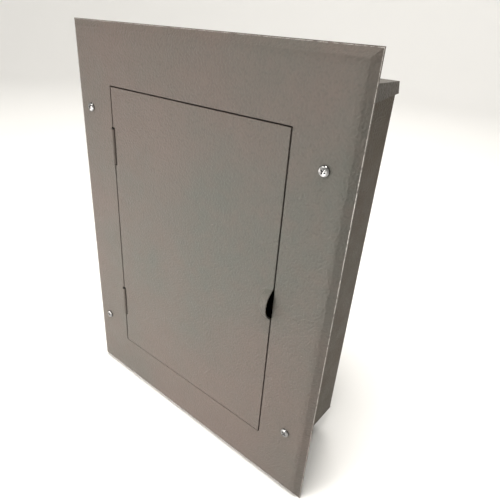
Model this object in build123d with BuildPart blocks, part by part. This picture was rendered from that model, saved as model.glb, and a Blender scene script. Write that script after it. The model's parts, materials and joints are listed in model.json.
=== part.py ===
from build123d import *
from math import atan2, cos, radians, sin, tan
import os

os.makedirs("parts", exist_ok=True)

# A flush-mounted fire alarm control panel, in millimetres.
# The origin is the centre of the back box's back face. +X is to the right as
# one faces the panel, +Z is up, and the front faces -Y. A "level" is a distance
# forward from the back face, so level 0 is the back and the door is outermost.

# ---- Sheet-metal cabinet ---------------------------------------------------
sheet = 1.2                     # steel sheet of the cabinet, trim and door
box_width = 290.0
box_height = 394.0
box_depth = 116.0
bend_radius = 2.0               # outside radius of the box's long bends
ear_width = 15.0                # out-turned front flanges of the box sides
end_flange = 10.0               # up-turned front flange of the end plates
side_flap = 16.0                # end plate's flap down the side wall
flap_end = 10.5                 # its height at the back, where it tapers
flap_taper = 55.0               # length of that taper
flap_flare = 8.0                # degrees that the top plate's side flaps lean outwards
back_flap = 12.0                # end plate's flap inside the back wall
fixing_radius = 3.25            # holes for the wall fixings
fixing_inset = 19.0             # wall fixings, from the box sides
fixing_rise = 160.0             # between the upper and lower fixings
knockout_radius = 11.1
knockout_slit = 0.15
knockout_tab = 3.0
knockout_spread = 90.0
knockout_level = 60.0
bushing_bore = 8.0
bushing_flange = (14.0, 2.5)    # radius and thickness
bushing_inside = 7.0            # how far the bushing's neck runs into the box

# ---- Trim frame ------------------------------------------------------------
trim_overlap = (30.0, 28.0)     # how far the trim reaches past the box
rim_run = 9.0                   # bent rim, measured across the face
rim_depth = 5.5                 # bent rim, measured backwards
trim_return = 8.0               # return bent back round the door opening
trim_screw_outset = 3.5         # trim screws, outside the box sides
trim_screw_rise = 138.8         # and above and below the centre
trim_screw_radius = 2.4
trim_screw_length = 6.0
trim_screw_head = (4.8, 2.9)    # radius and height
nut_plate = (10.0, 11.0, 2.5)   # width, height and thickness behind the ear
nut_wall_gap = 0.3              # from the box side
thread_clearance = 0.05
hole_clearance = 0.35

# ---- Door ------------------------------------------------------------------
door_width = 226.8
door_height = 327.2
door_centre = (1.5, 1.0)
side_gap = 1.4                  # seam at the door's sides
top_gap = 1.2
bottom_gap = 0.8
door_return = 10.0              # depth of the door's folded edges
pull_radius = 16.7              # pressed finger pull, at the door's face
pull_rise = 9.6
pull_offset = 1.8               # height of the pull above the door's centre
pull_blend = 4.5
stiffener_width = 34.0
stiffener_rise = 7.0
stiffener_lip = 9.0
stiffener_end_gap = 22.0

# ---- Hinges ----------------------------------------------------------------
hinge_length = 38.0
hinge_offset = 101.3            # hinge centres, above and below the door's centre
leaf_sheet = 1.0
leaf_width = 18.0
knuckle_gap = 0.3
pin_radius = 1.1
pin_clearance = 0.05
pin_head = (1.9, 0.6)
hinge_notch_play = 1.8          # space past each end of the hinge
hinge_slot = 0.6                # more space beside the knuckles, in the door

# ---- Magnetic catch --------------------------------------------------------
catch_length = 44.0
catch_width = 15.0
catch_height = 10.0
catch_offset = 52.0             # above the door's centre
catch_edge_gap = 3.0            # from the door's folded edge
strike_sheet = 1.5
magnet_size = (34.0, 5.0, 7.0)
bracket_reach = 14.0            # foot of the catch bracket on the trim

# ---- Chassis and main board ------------------------------------------------
chassis_size = (216.0, 216.0)
chassis_centre_z = 62.0
chassis_level = 14.0
stud_radius = 2.0
stud_collar = 4.5
stud_spacing = (196.0, 196.0)
stud_nut = (3.9, 3.2)           # radius across corners and height
board_size = (168.0, 192.0)
board_sheet = 1.6
board_gap = 10.0                # chassis to board
board_hole_inset = 6.0
standoff_radius = 3.0
board_screw_radius = 1.5
board_screw_head = (2.9, 1.8)
terminal_size = (72.0, 10.5, 13.0)
terminal_poles = 8
terminal_spread = 76.0
terminal_edge = 7.0             # row centre from the board's top or bottom edge
terminal_pocket = (2.9, 4.0)    # radius and depth of each screw's pocket
wire_entry = (6.0, 4.6, 6.0)    # width, height and depth of each wire entry
wire_entry_rise = 1.5           # sill of each entry above the board
terminal_screw = (2.6, 2.2)
relay_size = (20.0, 16.0, 16.0)
relay_pitch = 25.0
relay_count = 4
relay_row = (-31.0, -6.0)
fuse_row = (58.0, -6.0)
fuse_pitch = 11.0
fuse_count = 3
fuse_radius = 2.6
fuse_length = 20.0
fuse_clip = (5.0, 7.0, 8.0)
capacitor_radius = 8.0
capacitor_height = 30.0
capacitor_row = (-50.0, 58.0)
capacitor_pitch = 22.0
capacitor_count = 3
chip_size = (24.0, 24.0, 2.6)
chip_places = ((0.0, 100.0), (34.0, 62.0), (44.0, 104.0))

# ---- Dress panel and controls ----------------------------------------------
dress_size = (204.0, 112.0)
dress_centre_z = 85.0
dress_level = 88.0
dress_return = 6.0
dress_hole_inset = 8.0
post_radius = 3.5
operator_size = (180.0, 94.0)
operator_drop = 16.0            # operator board behind the dress panel
spacer_inset = 7.0
spacer_radius = 2.5
display_place = (-28.0, 110.0)
display_window_size = (86.0, 28.0)
display_body_size = (98.0, 38.0, 9.0)
window_flange = 4.0
window_sheet = 2.0
lamp_row = (-82.0, 80.0)
lamp_pitch = 17.0
lamp_radius = 2.5
lamp_rise = 2.0                 # lamp tip above the dress panel
lamp_clearance = 0.3
button_row = (-66.0, 55.0)
button_pitch = 30.0
button_side = 14.0
button_rise = 3.6
button_flange = (1.2, 1.0)      # overhang and thickness of the retaining flange
button_play = 0.3
button_travel = 1.5
button_stem = 2.3
stem_play = 0.2
switch_size = (12.0, 5.0)
switch_floor = 1.5
key_place = (74.0, 62.0)
key_face = (11.0, 3.0)          # radius and height of the bezel
key_body_radius = 8.0
key_body_length = 20.0
key_barrel_radius = 5.5
key_barrel_length = 18.0
key_clearance = 0.05
key_slot = (7.0, 1.6, 6.0)
key_nut = (11.0, 3.0)
sounder_place = (74.0, 112.0)
sounder_radius = 12.0
sounder_height = 9.0
sound_hole_radius = 1.5
sound_hole_circle = 6.0

# ---- Power -----------------------------------------------------------------
battery_size = (90.0, 101.0, 70.0)
battery_gap = 2.0
battery_wall_gap = 11.0         # first battery from the box side
tray_lip = 14.0
tray_back = 30.0
battery_play = 1.0
terminal_tab = (6.3, 7.0, 0.8)
tab_inset = 12.0                # from the battery's side and front
lead_sleeve = (8.5, 4.0, 13.0)
sleeve_lift = 0.5
strap_height = 15.0
strap_above_base = 62.0
strap_foot = 12.0
strap_gap = 0.3
core_size = (66.0, 56.0, 22.0)
coil_depth = 46.0
transformer_inset = (47.0, 47.0)    # its centre, from the box side and bottom
transformer_foot = 10.0
transformer_strap = 20.0
earth_inset = 19.0              # from the box side
earth_height = -60.0
earth_stud_length = 16.0
lead_radius = 1.3
earth_stud_radius = 2.5
earth_nut = (4.6, 4.0)
ribbon_width = 24.0
ribbon_thickness = 0.9
ribbon_x = -66.0
ribbon_header = (7.0, 6.0)      # height and depth of its sockets
ribbon_ends_z = (22.0, 46.0)    # on the main board and behind the operator board

# ---- Sizes worked out from the driving ones ---------------------------------
front = box_depth + sheet       # level of the trim's and the door's outer face
half_height = box_height / 2
trim_width = box_width + 2 * trim_overlap[0]
trim_height = box_height + 2 * trim_overlap[1]
fixing_spacing = (box_width - 2 * fixing_inset, fixing_rise)
trim_screw_place = (box_width / 2 + trim_screw_outset, trim_screw_rise)
opening_width = door_width + 2 * side_gap
opening_height = door_height + top_gap + bottom_gap
opening_centre = (door_centre[0], door_centre[1] + (top_gap - bottom_gap) / 2)
door_left = door_centre[0] - door_width / 2
door_right = door_centre[0] + door_width / 2
pin_x = door_left - side_gap / 2
knuckle_radius = sheet + leaf_sheet
knuckle_reach = knuckle_radius + 0.4
pull_z = door_centre[1] + pull_offset
pull_sphere = (pull_radius ** 2 + pull_rise ** 2) / (2 * pull_rise)
pull_level = front + pull_rise - pull_sphere
hinge_heights = (door_centre[1] + hinge_offset, door_centre[1] - hinge_offset)
chassis_top = chassis_level + sheet
board_level = chassis_top + board_gap
board_top = board_level + board_sheet
operator_level = dress_level - operator_drop
operator_top = operator_level + board_sheet
battery_left = -box_width / 2 + battery_wall_gap
transformer_centre = (box_width / 2 - transformer_inset[0], transformer_inset[1] - half_height)
earth_place = (-box_width / 2 + earth_inset, earth_height)
dress_top = dress_level + sheet


def level(forward):
    """The plane that faces the front, this far forward of the back face."""
    return Plane.XZ.offset(forward)


def pair(distance):
    """Both signs of a distance."""
    return (-distance, distance)


def pan_screw(shank_radius, shank_length, head_radius, head_height):
    """A cross-recess pan-head screw along +Z, with its head standing on Z = 0."""
    with BuildPart() as screw:
        with BuildSketch(Plane.XZ):
            with BuildLine():
                Line((0, -shank_length), (shank_radius, -shank_length))
                Line((shank_radius, -shank_length), (shank_radius, 0))
                Line((shank_radius, 0), (head_radius, 0))
                Line((head_radius, 0), (head_radius, head_height * 0.35))
                Spline(
                    (head_radius, head_height * 0.35),
                    (head_radius * 0.7, head_height * 0.88),
                    (0, head_height),
                    tangents=((0, 1), (-1, 0)),
                )
                Line((0, head_height), (0, -shank_length))
            make_face()
        revolve(axis=Axis.Z)
        with BuildSketch(Plane.XY.offset(head_height)):
            Rectangle(head_radius * 1.1, head_radius * 0.26)
            Rectangle(head_radius * 0.26, head_radius * 1.1)
        extrude(amount=-head_height * 0.6, taper=12, mode=Mode.SUBTRACT)
    return screw.part


# ---- Back box ----------------------------------------------------------------
# The back and both sides are one folded sheet. Its front edges turn outwards and
# carry the nuts for the trim screws.
with BuildPart() as back_box:
    with BuildSketch(level(0)):
        Rectangle(box_width, box_height - 2 * sheet)
    extrude(amount=box_depth)
    fillet(back_box.edges().filter_by(Axis.Z).group_by(Axis.Y)[-1], bend_radius)
    with BuildSketch(level(sheet)):
        Rectangle(box_width - 2 * sheet, box_height)
    extrude(amount=box_depth, mode=Mode.SUBTRACT)
    inner_bends = back_box.edges().filter_by(Axis.Z).filter_by_position(Axis.Y, -sheet, -sheet)
    fillet(inner_bends, bend_radius - sheet)
    with BuildSketch(level(box_depth)):
        with Locations(*[(x, 0) for x in pair((box_width + ear_width) / 2)]):
            Rectangle(ear_width, box_height - 2 * sheet)
    extrude(amount=-sheet)
    with BuildSketch(level(box_depth)):
        with GridLocations(2 * trim_screw_place[0], 2 * trim_screw_place[1], 2, 2):
            Circle(trim_screw_radius + hole_clearance)
    extrude(amount=-sheet, mode=Mode.SUBTRACT)
    with BuildSketch(level(0)):
        with GridLocations(*fixing_spacing, 2, 2):
            Circle(fixing_radius)
    extrude(amount=sheet, mode=Mode.SUBTRACT)

with BuildPart() as nut_plates:
    nut_x = box_width / 2 + nut_wall_gap + nut_plate[0] / 2
    with BuildSketch(level(box_depth - sheet)):
        with GridLocations(2 * nut_x, 2 * trim_screw_place[1], 2, 2):
            Rectangle(nut_plate[0], nut_plate[1])
        with GridLocations(2 * trim_screw_place[0], 2 * trim_screw_place[1], 2, 2):
            Circle(trim_screw_radius + thread_clearance, mode=Mode.SUBTRACT)
    extrude(amount=-nut_plate[2])


# ---- End plates ----------------------------------------------------------------
# Each end plate closes the wrapper: a flap down each side wall, one inside the
# back wall, and a front flange in line with the sides' ears. The top plate's side
# flaps lean out from the walls, and the bottom plate's are folded flat inside.
def end_plate(knockouts, outside):
    """An end plate at the top of the box, with round knockout holes at these places."""
    plate_width = box_width + 2 * sheet if outside else box_width
    flap_x = box_width / 2 if outside else box_width / 2 - sheet
    flap_start = 0 if outside else 3 * sheet
    lean = radians(flap_flare) if outside else 0
    with BuildPart() as plate:
        with BuildSketch(Plane.XY.offset(half_height)):
            with Locations((0, -box_depth / 2)):
                Rectangle(plate_width, box_depth)
        extrude(amount=-sheet)
        for side in (-1, 1):
            fold = Plane(
                origin=(side * flap_x, 0, half_height - sheet),
                x_dir=(0, -1, 0),
                z_dir=(cos(lean), 0, side * sin(lean)),
            )
            with BuildSketch(fold):
                with BuildLine():
                    Polyline(
                        (flap_start, -sheet / 2),
                        (box_depth - sheet, -sheet / 2),
                        (box_depth - sheet, side_flap - sheet),
                        (flap_start + flap_taper, side_flap - sheet),
                        (flap_start, flap_end - sheet),
                        close=True,
                    )
                make_face()
            extrude(amount=side * sheet if outside else -side * sheet)
        with BuildSketch(level(sheet)):
            with Locations((0, half_height - sheet - back_flap / 2)):
                Rectangle(box_width - 2 * bend_radius - 2 * sheet, back_flap)
        extrude(amount=sheet)
        with BuildSketch(level(box_depth)):
            with Locations((0, half_height + end_flange / 2)):
                Rectangle(plate_width, end_flange)
        extrude(amount=-sheet)
        with BuildSketch(Plane.XY.offset(half_height)):
            with Locations(*[(x, -knockout_level) for x in knockouts]):
                Circle(knockout_radius)
        extrude(amount=-sheet, mode=Mode.SUBTRACT)
    return plate


top_end_plate = end_plate((-knockout_spread, 0, knockout_spread), True)
lower_plate_upright = end_plate(pair(knockout_spread), False)

with BuildPart() as bottom_end_plate:
    mirror(lower_plate_upright.part, about=Plane.XY)

top_closed = ((0, -knockout_level), (knockout_spread, -knockout_level))
bottom_closed = [(x, -knockout_level) for x in pair(knockout_spread)]

with BuildPart() as knockout_discs:
    for base, places in ((half_height - sheet, top_closed), (-half_height, bottom_closed)):
        with BuildSketch(Plane.XY.offset(base)):
            with Locations(*places):
                Circle(knockout_radius - knockout_slit)
                Rectangle(knockout_tab, 2 * knockout_radius)
            with Locations(*places):
                Circle(knockout_radius, mode=Mode.INTERSECT)
        extrude(amount=sheet)

with BuildPart() as cable_bushing:
    with BuildSketch(Plane.XY.offset(half_height)):
        with Locations((-knockout_spread, -knockout_level)):
            Circle(bushing_flange[0])
    extrude(amount=bushing_flange[1])
    fillet(cable_bushing.edges().filter_by(GeomType.CIRCLE).group_by(Axis.Z)[-1], 1.0)
    with BuildSketch(Plane.XY.offset(half_height)):
        with Locations((-knockout_spread, -knockout_level)):
            Circle(knockout_radius - thread_clearance)
    extrude(amount=-sheet - bushing_inside)
    with BuildSketch(Plane.XY.offset(half_height + bushing_flange[1])):
        with Locations((-knockout_spread, -knockout_level)):
            Circle(bushing_bore)
    extrude(amount=-bushing_flange[1] - sheet - bushing_inside, mode=Mode.SUBTRACT)

# ---- Trim frame ----------------------------------------------------------------
# A flat face whose outer edge is bent back to meet the wall all round. The edge
# of the door opening is folded back too, except where a hinge sits in the seam.
rim_angle = atan2(rim_depth, rim_run)
rim_gap = sheet / sin(rim_angle)
rim_slope = rim_run / rim_depth
inner_run = (rim_depth - sheet) * rim_slope + rim_gap

with BuildPart() as trim_frame:
    with BuildSketch(level(front - rim_depth)):
        Rectangle(trim_width, trim_height)
    with BuildSketch(level(front)):
        Rectangle(trim_width - 2 * rim_run, trim_height - 2 * rim_run)
    loft()
    with BuildSketch(level(front - rim_depth)):
        Rectangle(trim_width - 2 * rim_gap, trim_height - 2 * rim_gap)
    with BuildSketch(level(front - sheet)):
        Rectangle(trim_width - 2 * inner_run, trim_height - 2 * inner_run)
    loft(mode=Mode.SUBTRACT)
    with BuildSketch(level(front - sheet)):
        with Locations(opening_centre):
            Rectangle(opening_width + 2 * sheet, opening_height + 2 * sheet)
    extrude(amount=-trim_return + sheet)
    with BuildSketch(level(front)):
        with Locations(opening_centre):
            Rectangle(opening_width, opening_height)
    extrude(amount=-trim_return, mode=Mode.SUBTRACT)
    with BuildSketch(level(front)):
        with Locations(*[(pin_x, z) for z in hinge_heights]):
            Rectangle(2 * knuckle_reach, hinge_length + 2 * hinge_notch_play)
        with GridLocations(2 * trim_screw_place[0], 2 * trim_screw_place[1], 2, 2):
            Circle(trim_screw_radius + hole_clearance)
    extrude(amount=-trim_return, mode=Mode.SUBTRACT)

trim_screw = pan_screw(trim_screw_radius, trim_screw_length, *trim_screw_head)
with BuildPart(level(front)) as trim_screws:
    with GridLocations(2 * trim_screw_place[0], 2 * trim_screw_place[1], 2, 2):
        add(trim_screw)

# ---- Door ----------------------------------------------------------------------
# A tray of sheet with its edges folded back. The finger pull is half a dome
# pressed out of its right edge, open towards the trim.
with BuildPart() as pull_dome:
    with Locations((door_right, -pull_level, pull_z)):
        Sphere(pull_sphere)
        Sphere(pull_sphere - sheet, mode=Mode.SUBTRACT)
    split(bisect_by=level(front - sheet), keep=Keep.TOP)
    split(bisect_by=Plane.YZ.offset(door_right), keep=Keep.BOTTOM)

with BuildPart() as door_panel:
    with BuildSketch(level(front)):
        with Locations(door_centre):
            Rectangle(door_width, door_height)
    extrude(amount=-door_return)
    with BuildSketch(level(front - sheet)):
        with Locations(door_centre):
            Rectangle(door_width - 2 * sheet, door_height - 2 * sheet)
    extrude(amount=-door_return, mode=Mode.SUBTRACT)
    with Locations((door_right, -pull_level, pull_z)):
        Sphere(pull_sphere - sheet / 2, mode=Mode.SUBTRACT)
    with BuildSketch(level(front - sheet)):
        with Locations((door_right, pull_z)):
            Rectangle(2 * sheet + 2, 2 * pull_radius)
    extrude(amount=-door_return, mode=Mode.SUBTRACT)
    add(pull_dome.part)
    blend = door_panel.edges().filter_by(GeomType.CIRCLE)
    blend = blend.filter_by_position(Axis.Y, -front - 0.01, -front + 0.01)
    fillet(blend, pull_blend)
    with BuildSketch(level(front)):
        with Locations(*[(pin_x + hinge_slot / 2, z) for z in hinge_heights]):
            Rectangle(2 * knuckle_reach + hinge_slot, hinge_length + 2 * hinge_notch_play)
    extrude(amount=-door_return, mode=Mode.SUBTRACT)

with BuildPart() as door_stiffener:
    with BuildSketch(Plane.XY.offset(door_centre[1] - door_height / 2 + stiffener_end_gap)):
        with Locations((door_centre[0], -front + sheet)):
            Rectangle(stiffener_width, stiffener_rise, align=(Align.CENTER, Align.MIN))
            Rectangle(
                stiffener_width - 2 * sheet,
                stiffener_rise - sheet,
                align=(Align.CENTER, Align.MIN),
                mode=Mode.SUBTRACT,
            )
        for side in (-1, 1):
            lip_x = door_centre[0] + side * (stiffener_width + stiffener_lip) / 2
            with Locations((lip_x, -front + sheet)):
                Rectangle(stiffener_lip, sheet, align=(Align.CENTER, Align.MIN))
    extrude(amount=door_height - 2 * stiffener_end_gap)


# ---- Hinges ----------------------------------------------------------------------
def hinge_leaves(side, knuckles):
    """Both hinges' leaves on the trim (side -1) or the door (side 1), knuckles as (low, high)."""
    with BuildPart() as leaves:
        for centre_z in hinge_heights:
            with BuildSketch(Plane.XY.offset(centre_z - hinge_length / 2)):
                with Locations((pin_x + side * (knuckle_reach + leaf_width) / 2, -front + sheet)):
                    Rectangle(
                        leaf_width - knuckle_reach, leaf_sheet, align=(Align.CENTER, Align.MIN)
                    )
            extrude(amount=hinge_length)
            for low, high in knuckles:
                with BuildSketch(Plane.XY.offset(centre_z + low)):
                    with Locations((pin_x, -front)):
                        Circle(knuckle_radius)
                    with Locations((pin_x + side * knuckle_reach / 2, -front + sheet)):
                        Rectangle(knuckle_reach, leaf_sheet, align=(Align.CENTER, Align.MIN))
                    with Locations((pin_x, -front)):
                        Circle(pin_radius + pin_clearance, mode=Mode.SUBTRACT)
                extrude(amount=high - low)
    return leaves


knuckle = hinge_length / 3
middle_knuckle = ((-knuckle / 2 + knuckle_gap, knuckle / 2 - knuckle_gap),)
outer_knuckles = ((-1.5 * knuckle, -knuckle / 2), (knuckle / 2, 1.5 * knuckle))
hinge_trim_leaves = hinge_leaves(-1, outer_knuckles)
hinge_door_leaves = hinge_leaves(1, middle_knuckle)

with BuildPart() as hinge_pins:
    for centre_z in hinge_heights:
        with BuildSketch(Plane.XY.offset(centre_z - hinge_length / 2)):
            with Locations((pin_x, -front)):
                Circle(pin_radius)
        extrude(amount=hinge_length)
        with BuildSketch(Plane.XY.offset(centre_z + hinge_length / 2)):
            with Locations((pin_x, -front)):
                Circle(pin_head[0])
        extrude(amount=pin_head[1])

# ---- Magnetic catch ----------------------------------------------------------------
# The catch sits inside the door's folded edge, on a bracket that reaches behind
# that edge from the back of the trim.
catch_z = door_centre[1] + catch_offset
catch_right = door_right - sheet - catch_edge_gap
catch_x = catch_right - catch_width / 2
strike_level = front - sheet - strike_sheet
catch_base = strike_level - catch_height
bracket_x = opening_centre[0] + opening_width / 2 + sheet + bracket_reach / 2

with BuildPart() as catch_strike:
    with BuildSketch(level(strike_level)):
        with Locations((catch_x, catch_z)):
            Rectangle(catch_width, catch_length)
    extrude(amount=strike_sheet)

with BuildPart() as catch_magnet:
    with BuildSketch(level(strike_level)):
        with Locations((catch_x, catch_z)):
            Rectangle(magnet_size[1], magnet_size[0])
    extrude(amount=-magnet_size[2])

with BuildPart() as catch_housing:
    with BuildSketch(level(catch_base)):
        with Locations((catch_x, catch_z)):
            Rectangle(catch_width, catch_length)
    extrude(amount=catch_height - 0.4)
    fillet(catch_housing.edges().filter_by(Axis.Y), 2)
    with BuildSketch(level(strike_level)):
        with Locations((catch_x, catch_z)):
            Rectangle(magnet_size[1], magnet_size[0])
    extrude(amount=-magnet_size[2], mode=Mode.SUBTRACT)

with BuildPart() as catch_bracket:
    shelf_left = catch_right - catch_width
    shelf_right = bracket_x
    with BuildSketch(level(catch_base)):
        with Locations((shelf_left, catch_z)):
            Rectangle(shelf_right - shelf_left, catch_length, align=(Align.MIN, Align.CENTER))
    extrude(amount=-sheet)
    with BuildSketch(level(catch_base - sheet)):
        with Locations((shelf_right, catch_z)):
            Rectangle(sheet, catch_length, align=(Align.MIN, Align.CENTER))
    extrude(amount=front - sheet - catch_base + sheet)
    with BuildSketch(level(front - sheet)):
        with Locations((shelf_right, catch_z)):
            Rectangle(bracket_reach, catch_length, align=(Align.MIN, Align.CENTER))
    extrude(amount=-sheet)

# ---- Chassis -----------------------------------------------------------------------
chassis_centre = (0, chassis_centre_z)

with BuildPart(level(sheet)) as chassis_studs:
    with Locations(chassis_centre):
        with GridLocations(*stud_spacing, 2, 2):
            Cylinder(
                stud_collar,
                chassis_level - sheet,
                align=(Align.CENTER, Align.CENTER, Align.MIN),
            )
            Cylinder(
                stud_radius,
                chassis_top - sheet + stud_nut[1] + 2,
                align=(Align.CENTER, Align.CENTER, Align.MIN),
            )

with BuildPart() as chassis_plate:
    with BuildSketch(level(chassis_level)):
        with Locations(chassis_centre):
            RectangleRounded(*chassis_size, 4)
            with GridLocations(*stud_spacing, 2, 2):
                Circle(stud_radius + hole_clearance, mode=Mode.SUBTRACT)
    extrude(amount=sheet)

with BuildPart() as chassis_nuts:
    with BuildSketch(level(chassis_top)):
        with Locations(chassis_centre):
            with GridLocations(*stud_spacing, 2, 2):
                RegularPolygon(stud_nut[0], 6)
                Circle(stud_radius + thread_clearance, mode=Mode.SUBTRACT)
    extrude(amount=stud_nut[1])

# ---- Main board --------------------------------------------------------------------
board_hole_spacing = [side - 2 * board_hole_inset for side in board_size]

with BuildPart() as main_board:
    with BuildSketch(level(board_level)):
        with Locations(chassis_centre):
            RectangleRounded(*board_size, 2)
            with GridLocations(*board_hole_spacing, 2, 2):
                Circle(board_screw_radius + hole_clearance, mode=Mode.SUBTRACT)
    extrude(amount=board_sheet)

with BuildPart() as board_standoffs:
    with BuildSketch(level(chassis_top)):
        with Locations(chassis_centre):
            with GridLocations(*board_hole_spacing, 2, 2):
                RegularPolygon(standoff_radius, 6)
                Circle(board_screw_radius + thread_clearance, mode=Mode.SUBTRACT)
    extrude(amount=board_gap)

board_screw = pan_screw(board_screw_radius, board_sheet + 5, *board_screw_head)
with BuildPart(level(board_top)) as board_screws:
    with Locations(chassis_centre):
        with GridLocations(*board_hole_spacing, 2, 2):
            add(board_screw)

terminal_rows = [
    chassis_centre_z + side * (board_size[1] / 2 - terminal_edge) for side in (-1, 1)
]
pole_pitch = terminal_size[0] / terminal_poles
terminal_top = board_top + terminal_size[2]
entry_level = board_top + wire_entry_rise + wire_entry[1] / 2

with BuildPart() as terminal_blocks:
    for side, row_z in zip((-1, 1), terminal_rows):
        with BuildSketch(level(board_top)):
            with Locations((0, row_z)):
                with GridLocations(terminal_spread, 0, 2, 1):
                    Rectangle(terminal_size[0], terminal_size[1])
        extrude(amount=terminal_size[2])
        with BuildSketch(level(terminal_top)):
            with Locations((0, row_z)):
                with GridLocations(terminal_spread, 0, 2, 1):
                    with GridLocations(pole_pitch, 0, terminal_poles, 1):
                        Circle(terminal_pocket[0])
        extrude(amount=-terminal_pocket[1], mode=Mode.SUBTRACT)
        entry_face = row_z + side * terminal_size[1] / 2
        with BuildSketch(Plane.XY.offset(entry_face)):
            with Locations((0, -entry_level)):
                with GridLocations(terminal_spread, 0, 2, 1):
                    with GridLocations(pole_pitch, 0, terminal_poles, 1):
                        Rectangle(wire_entry[0], wire_entry[1])
        extrude(amount=-side * wire_entry[2], mode=Mode.SUBTRACT)

with BuildPart() as terminal_screws:
    with BuildSketch(level(terminal_top - terminal_pocket[1])):
        for row_z in terminal_rows:
            with Locations((0, row_z)):
                with GridLocations(terminal_spread, 0, 2, 1):
                    with GridLocations(pole_pitch, 0, terminal_poles, 1):
                        Circle(terminal_screw[0])
    extrude(amount=terminal_screw[1])
    with BuildSketch(level(terminal_top - terminal_pocket[1] + terminal_screw[1])):
        for row_z in terminal_rows:
            with Locations((0, row_z)):
                with GridLocations(terminal_spread, 0, 2, 1):
                    with GridLocations(pole_pitch, 0, terminal_poles, 1):
                        Rectangle(2 * terminal_screw[0] + 1, 0.8)
    extrude(amount=-terminal_screw[1] / 2, mode=Mode.SUBTRACT)

with BuildPart(level(board_top)) as relays:
    with Locations(relay_row):
        with GridLocations(relay_pitch, 0, relay_count, 1):
            Box(*relay_size, align=(Align.CENTER, Align.CENTER, Align.MIN))
    fillet(relays.edges().filter_by(Axis.Y), 1)

with BuildPart(level(board_top)) as fuse_holders:
    with Locations(fuse_row):
        with GridLocations(fuse_pitch, fuse_length - fuse_clip[0], fuse_count, 2):
            Box(
                fuse_clip[1], fuse_clip[0], fuse_clip[2],
                align=(Align.CENTER, Align.CENTER, Align.MIN),
            )
    with Locations((fuse_row[0], fuse_row[1], fuse_clip[2] - fuse_radius)):
        with GridLocations(fuse_pitch, 0, fuse_count, 1):
            Cylinder(
                fuse_radius + thread_clearance, 2 * fuse_length,
                rotation=(90, 0, 0), mode=Mode.SUBTRACT,
            )

with BuildPart(level(board_top)) as fuses:
    with Locations((fuse_row[0], fuse_row[1], fuse_clip[2] - fuse_radius)):
        with GridLocations(fuse_pitch, 0, fuse_count, 1):
            Cylinder(fuse_radius, fuse_length, rotation=(90, 0, 0))

with BuildPart(level(board_top)) as capacitors:
    with Locations(capacitor_row):
        with GridLocations(capacitor_pitch, 0, capacitor_count, 1):
            Cylinder(
                capacitor_radius, capacitor_height,
                align=(Align.CENTER, Align.CENTER, Align.MIN),
            )
    fillet(capacitors.edges().filter_by(GeomType.CIRCLE).group_by(Axis.Y)[0], 1.2)

with BuildPart(level(board_top)) as logic_chips:
    with Locations(*chip_places):
        Box(*chip_size, align=(Align.CENTER, Align.CENTER, Align.MIN))

# ---- Dress panel ---------------------------------------------------------------------
# The operator's panel stands on four posts from the chassis, clear of the board.
dress_centre = (0, dress_centre_z)
post_spacing = [side - 2 * dress_hole_inset for side in dress_size]

with BuildPart() as dress_panel:
    with BuildSketch(level(dress_top)):
        with Locations(dress_centre):
            RectangleRounded(*dress_size, 3)
    extrude(amount=-dress_return)
    with BuildSketch(level(dress_level)):
        with Locations(dress_centre):
            RectangleRounded(dress_size[0] - 2 * sheet, dress_size[1] - 2 * sheet, 3 - sheet)
    extrude(amount=-dress_return, mode=Mode.SUBTRACT)
    with BuildSketch(level(dress_level)):
        with Locations(dress_centre):
            with GridLocations(*post_spacing, 2, 2):
                Circle(board_screw_radius + hole_clearance)
        with Locations(display_place):
            RectangleRounded(*display_window_size, 1.5)
        with Locations(lamp_row):
            with GridLocations(lamp_pitch, 0, 6, 1, align=(Align.MIN, Align.CENTER)):
                Circle(lamp_radius + lamp_clearance)
        with Locations(button_row):
            with GridLocations(button_pitch, 0, 4, 1, align=(Align.MIN, Align.CENTER)):
                Rectangle(button_side + 2 * button_play, button_side + 2 * button_play)
        with Locations(key_place):
            Circle(key_body_radius + key_clearance)
        with Locations(sounder_place):
            Circle(sound_hole_radius)
            with PolarLocations(sound_hole_circle, 6):
                Circle(sound_hole_radius)
    extrude(amount=sheet, mode=Mode.SUBTRACT)

with BuildPart() as dress_posts:
    with BuildSketch(level(chassis_top)):
        with Locations(dress_centre):
            with GridLocations(*post_spacing, 2, 2):
                RegularPolygon(post_radius, 6)
    extrude(amount=dress_level - chassis_top)
    with BuildSketch(level(dress_level)):
        with Locations(dress_centre):
            with GridLocations(*post_spacing, 2, 2):
                Circle(board_screw_radius + thread_clearance)
    extrude(amount=-8, mode=Mode.SUBTRACT)

dress_screw = pan_screw(board_screw_radius, sheet + 6, *board_screw_head)
with BuildPart(level(dress_top)) as dress_screws:
    with Locations(dress_centre):
        with GridLocations(*post_spacing, 2, 2):
            add(dress_screw)

spacer_spacing = [side - 2 * spacer_inset for side in operator_size]

with BuildPart() as operator_board:
    with BuildSketch(level(operator_level)):
        with Locations(dress_centre):
            RectangleRounded(*operator_size, 2)
        with Locations(key_place):
            Circle(key_nut[0] + 1, mode=Mode.SUBTRACT)
    extrude(amount=board_sheet)

with BuildPart() as operator_spacers:
    with BuildSketch(level(operator_top)):
        with Locations(dress_centre):
            with GridLocations(*spacer_spacing, 2, 2):
                Circle(spacer_radius)
    extrude(amount=dress_level - operator_top)

with BuildPart() as display_module:
    with BuildSketch(level(operator_top)):
        with Locations(display_place):
            RectangleRounded(display_body_size[0], display_body_size[1], 1)
    extrude(amount=display_body_size[2])

with BuildPart() as display_window:
    with BuildSketch(level(dress_level)):
        with Locations(display_place):
            Rectangle(
                display_window_size[0] + 2 * window_flange,
                display_window_size[1] + 2 * window_flange,
            )
    extrude(amount=-window_sheet)
    with BuildSketch(level(dress_level)):
        with Locations(display_place):
            RectangleRounded(
                display_window_size[0] - 2 * lamp_clearance,
                display_window_size[1] - 2 * lamp_clearance,
                1.2,
            )
    extrude(amount=sheet)


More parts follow.
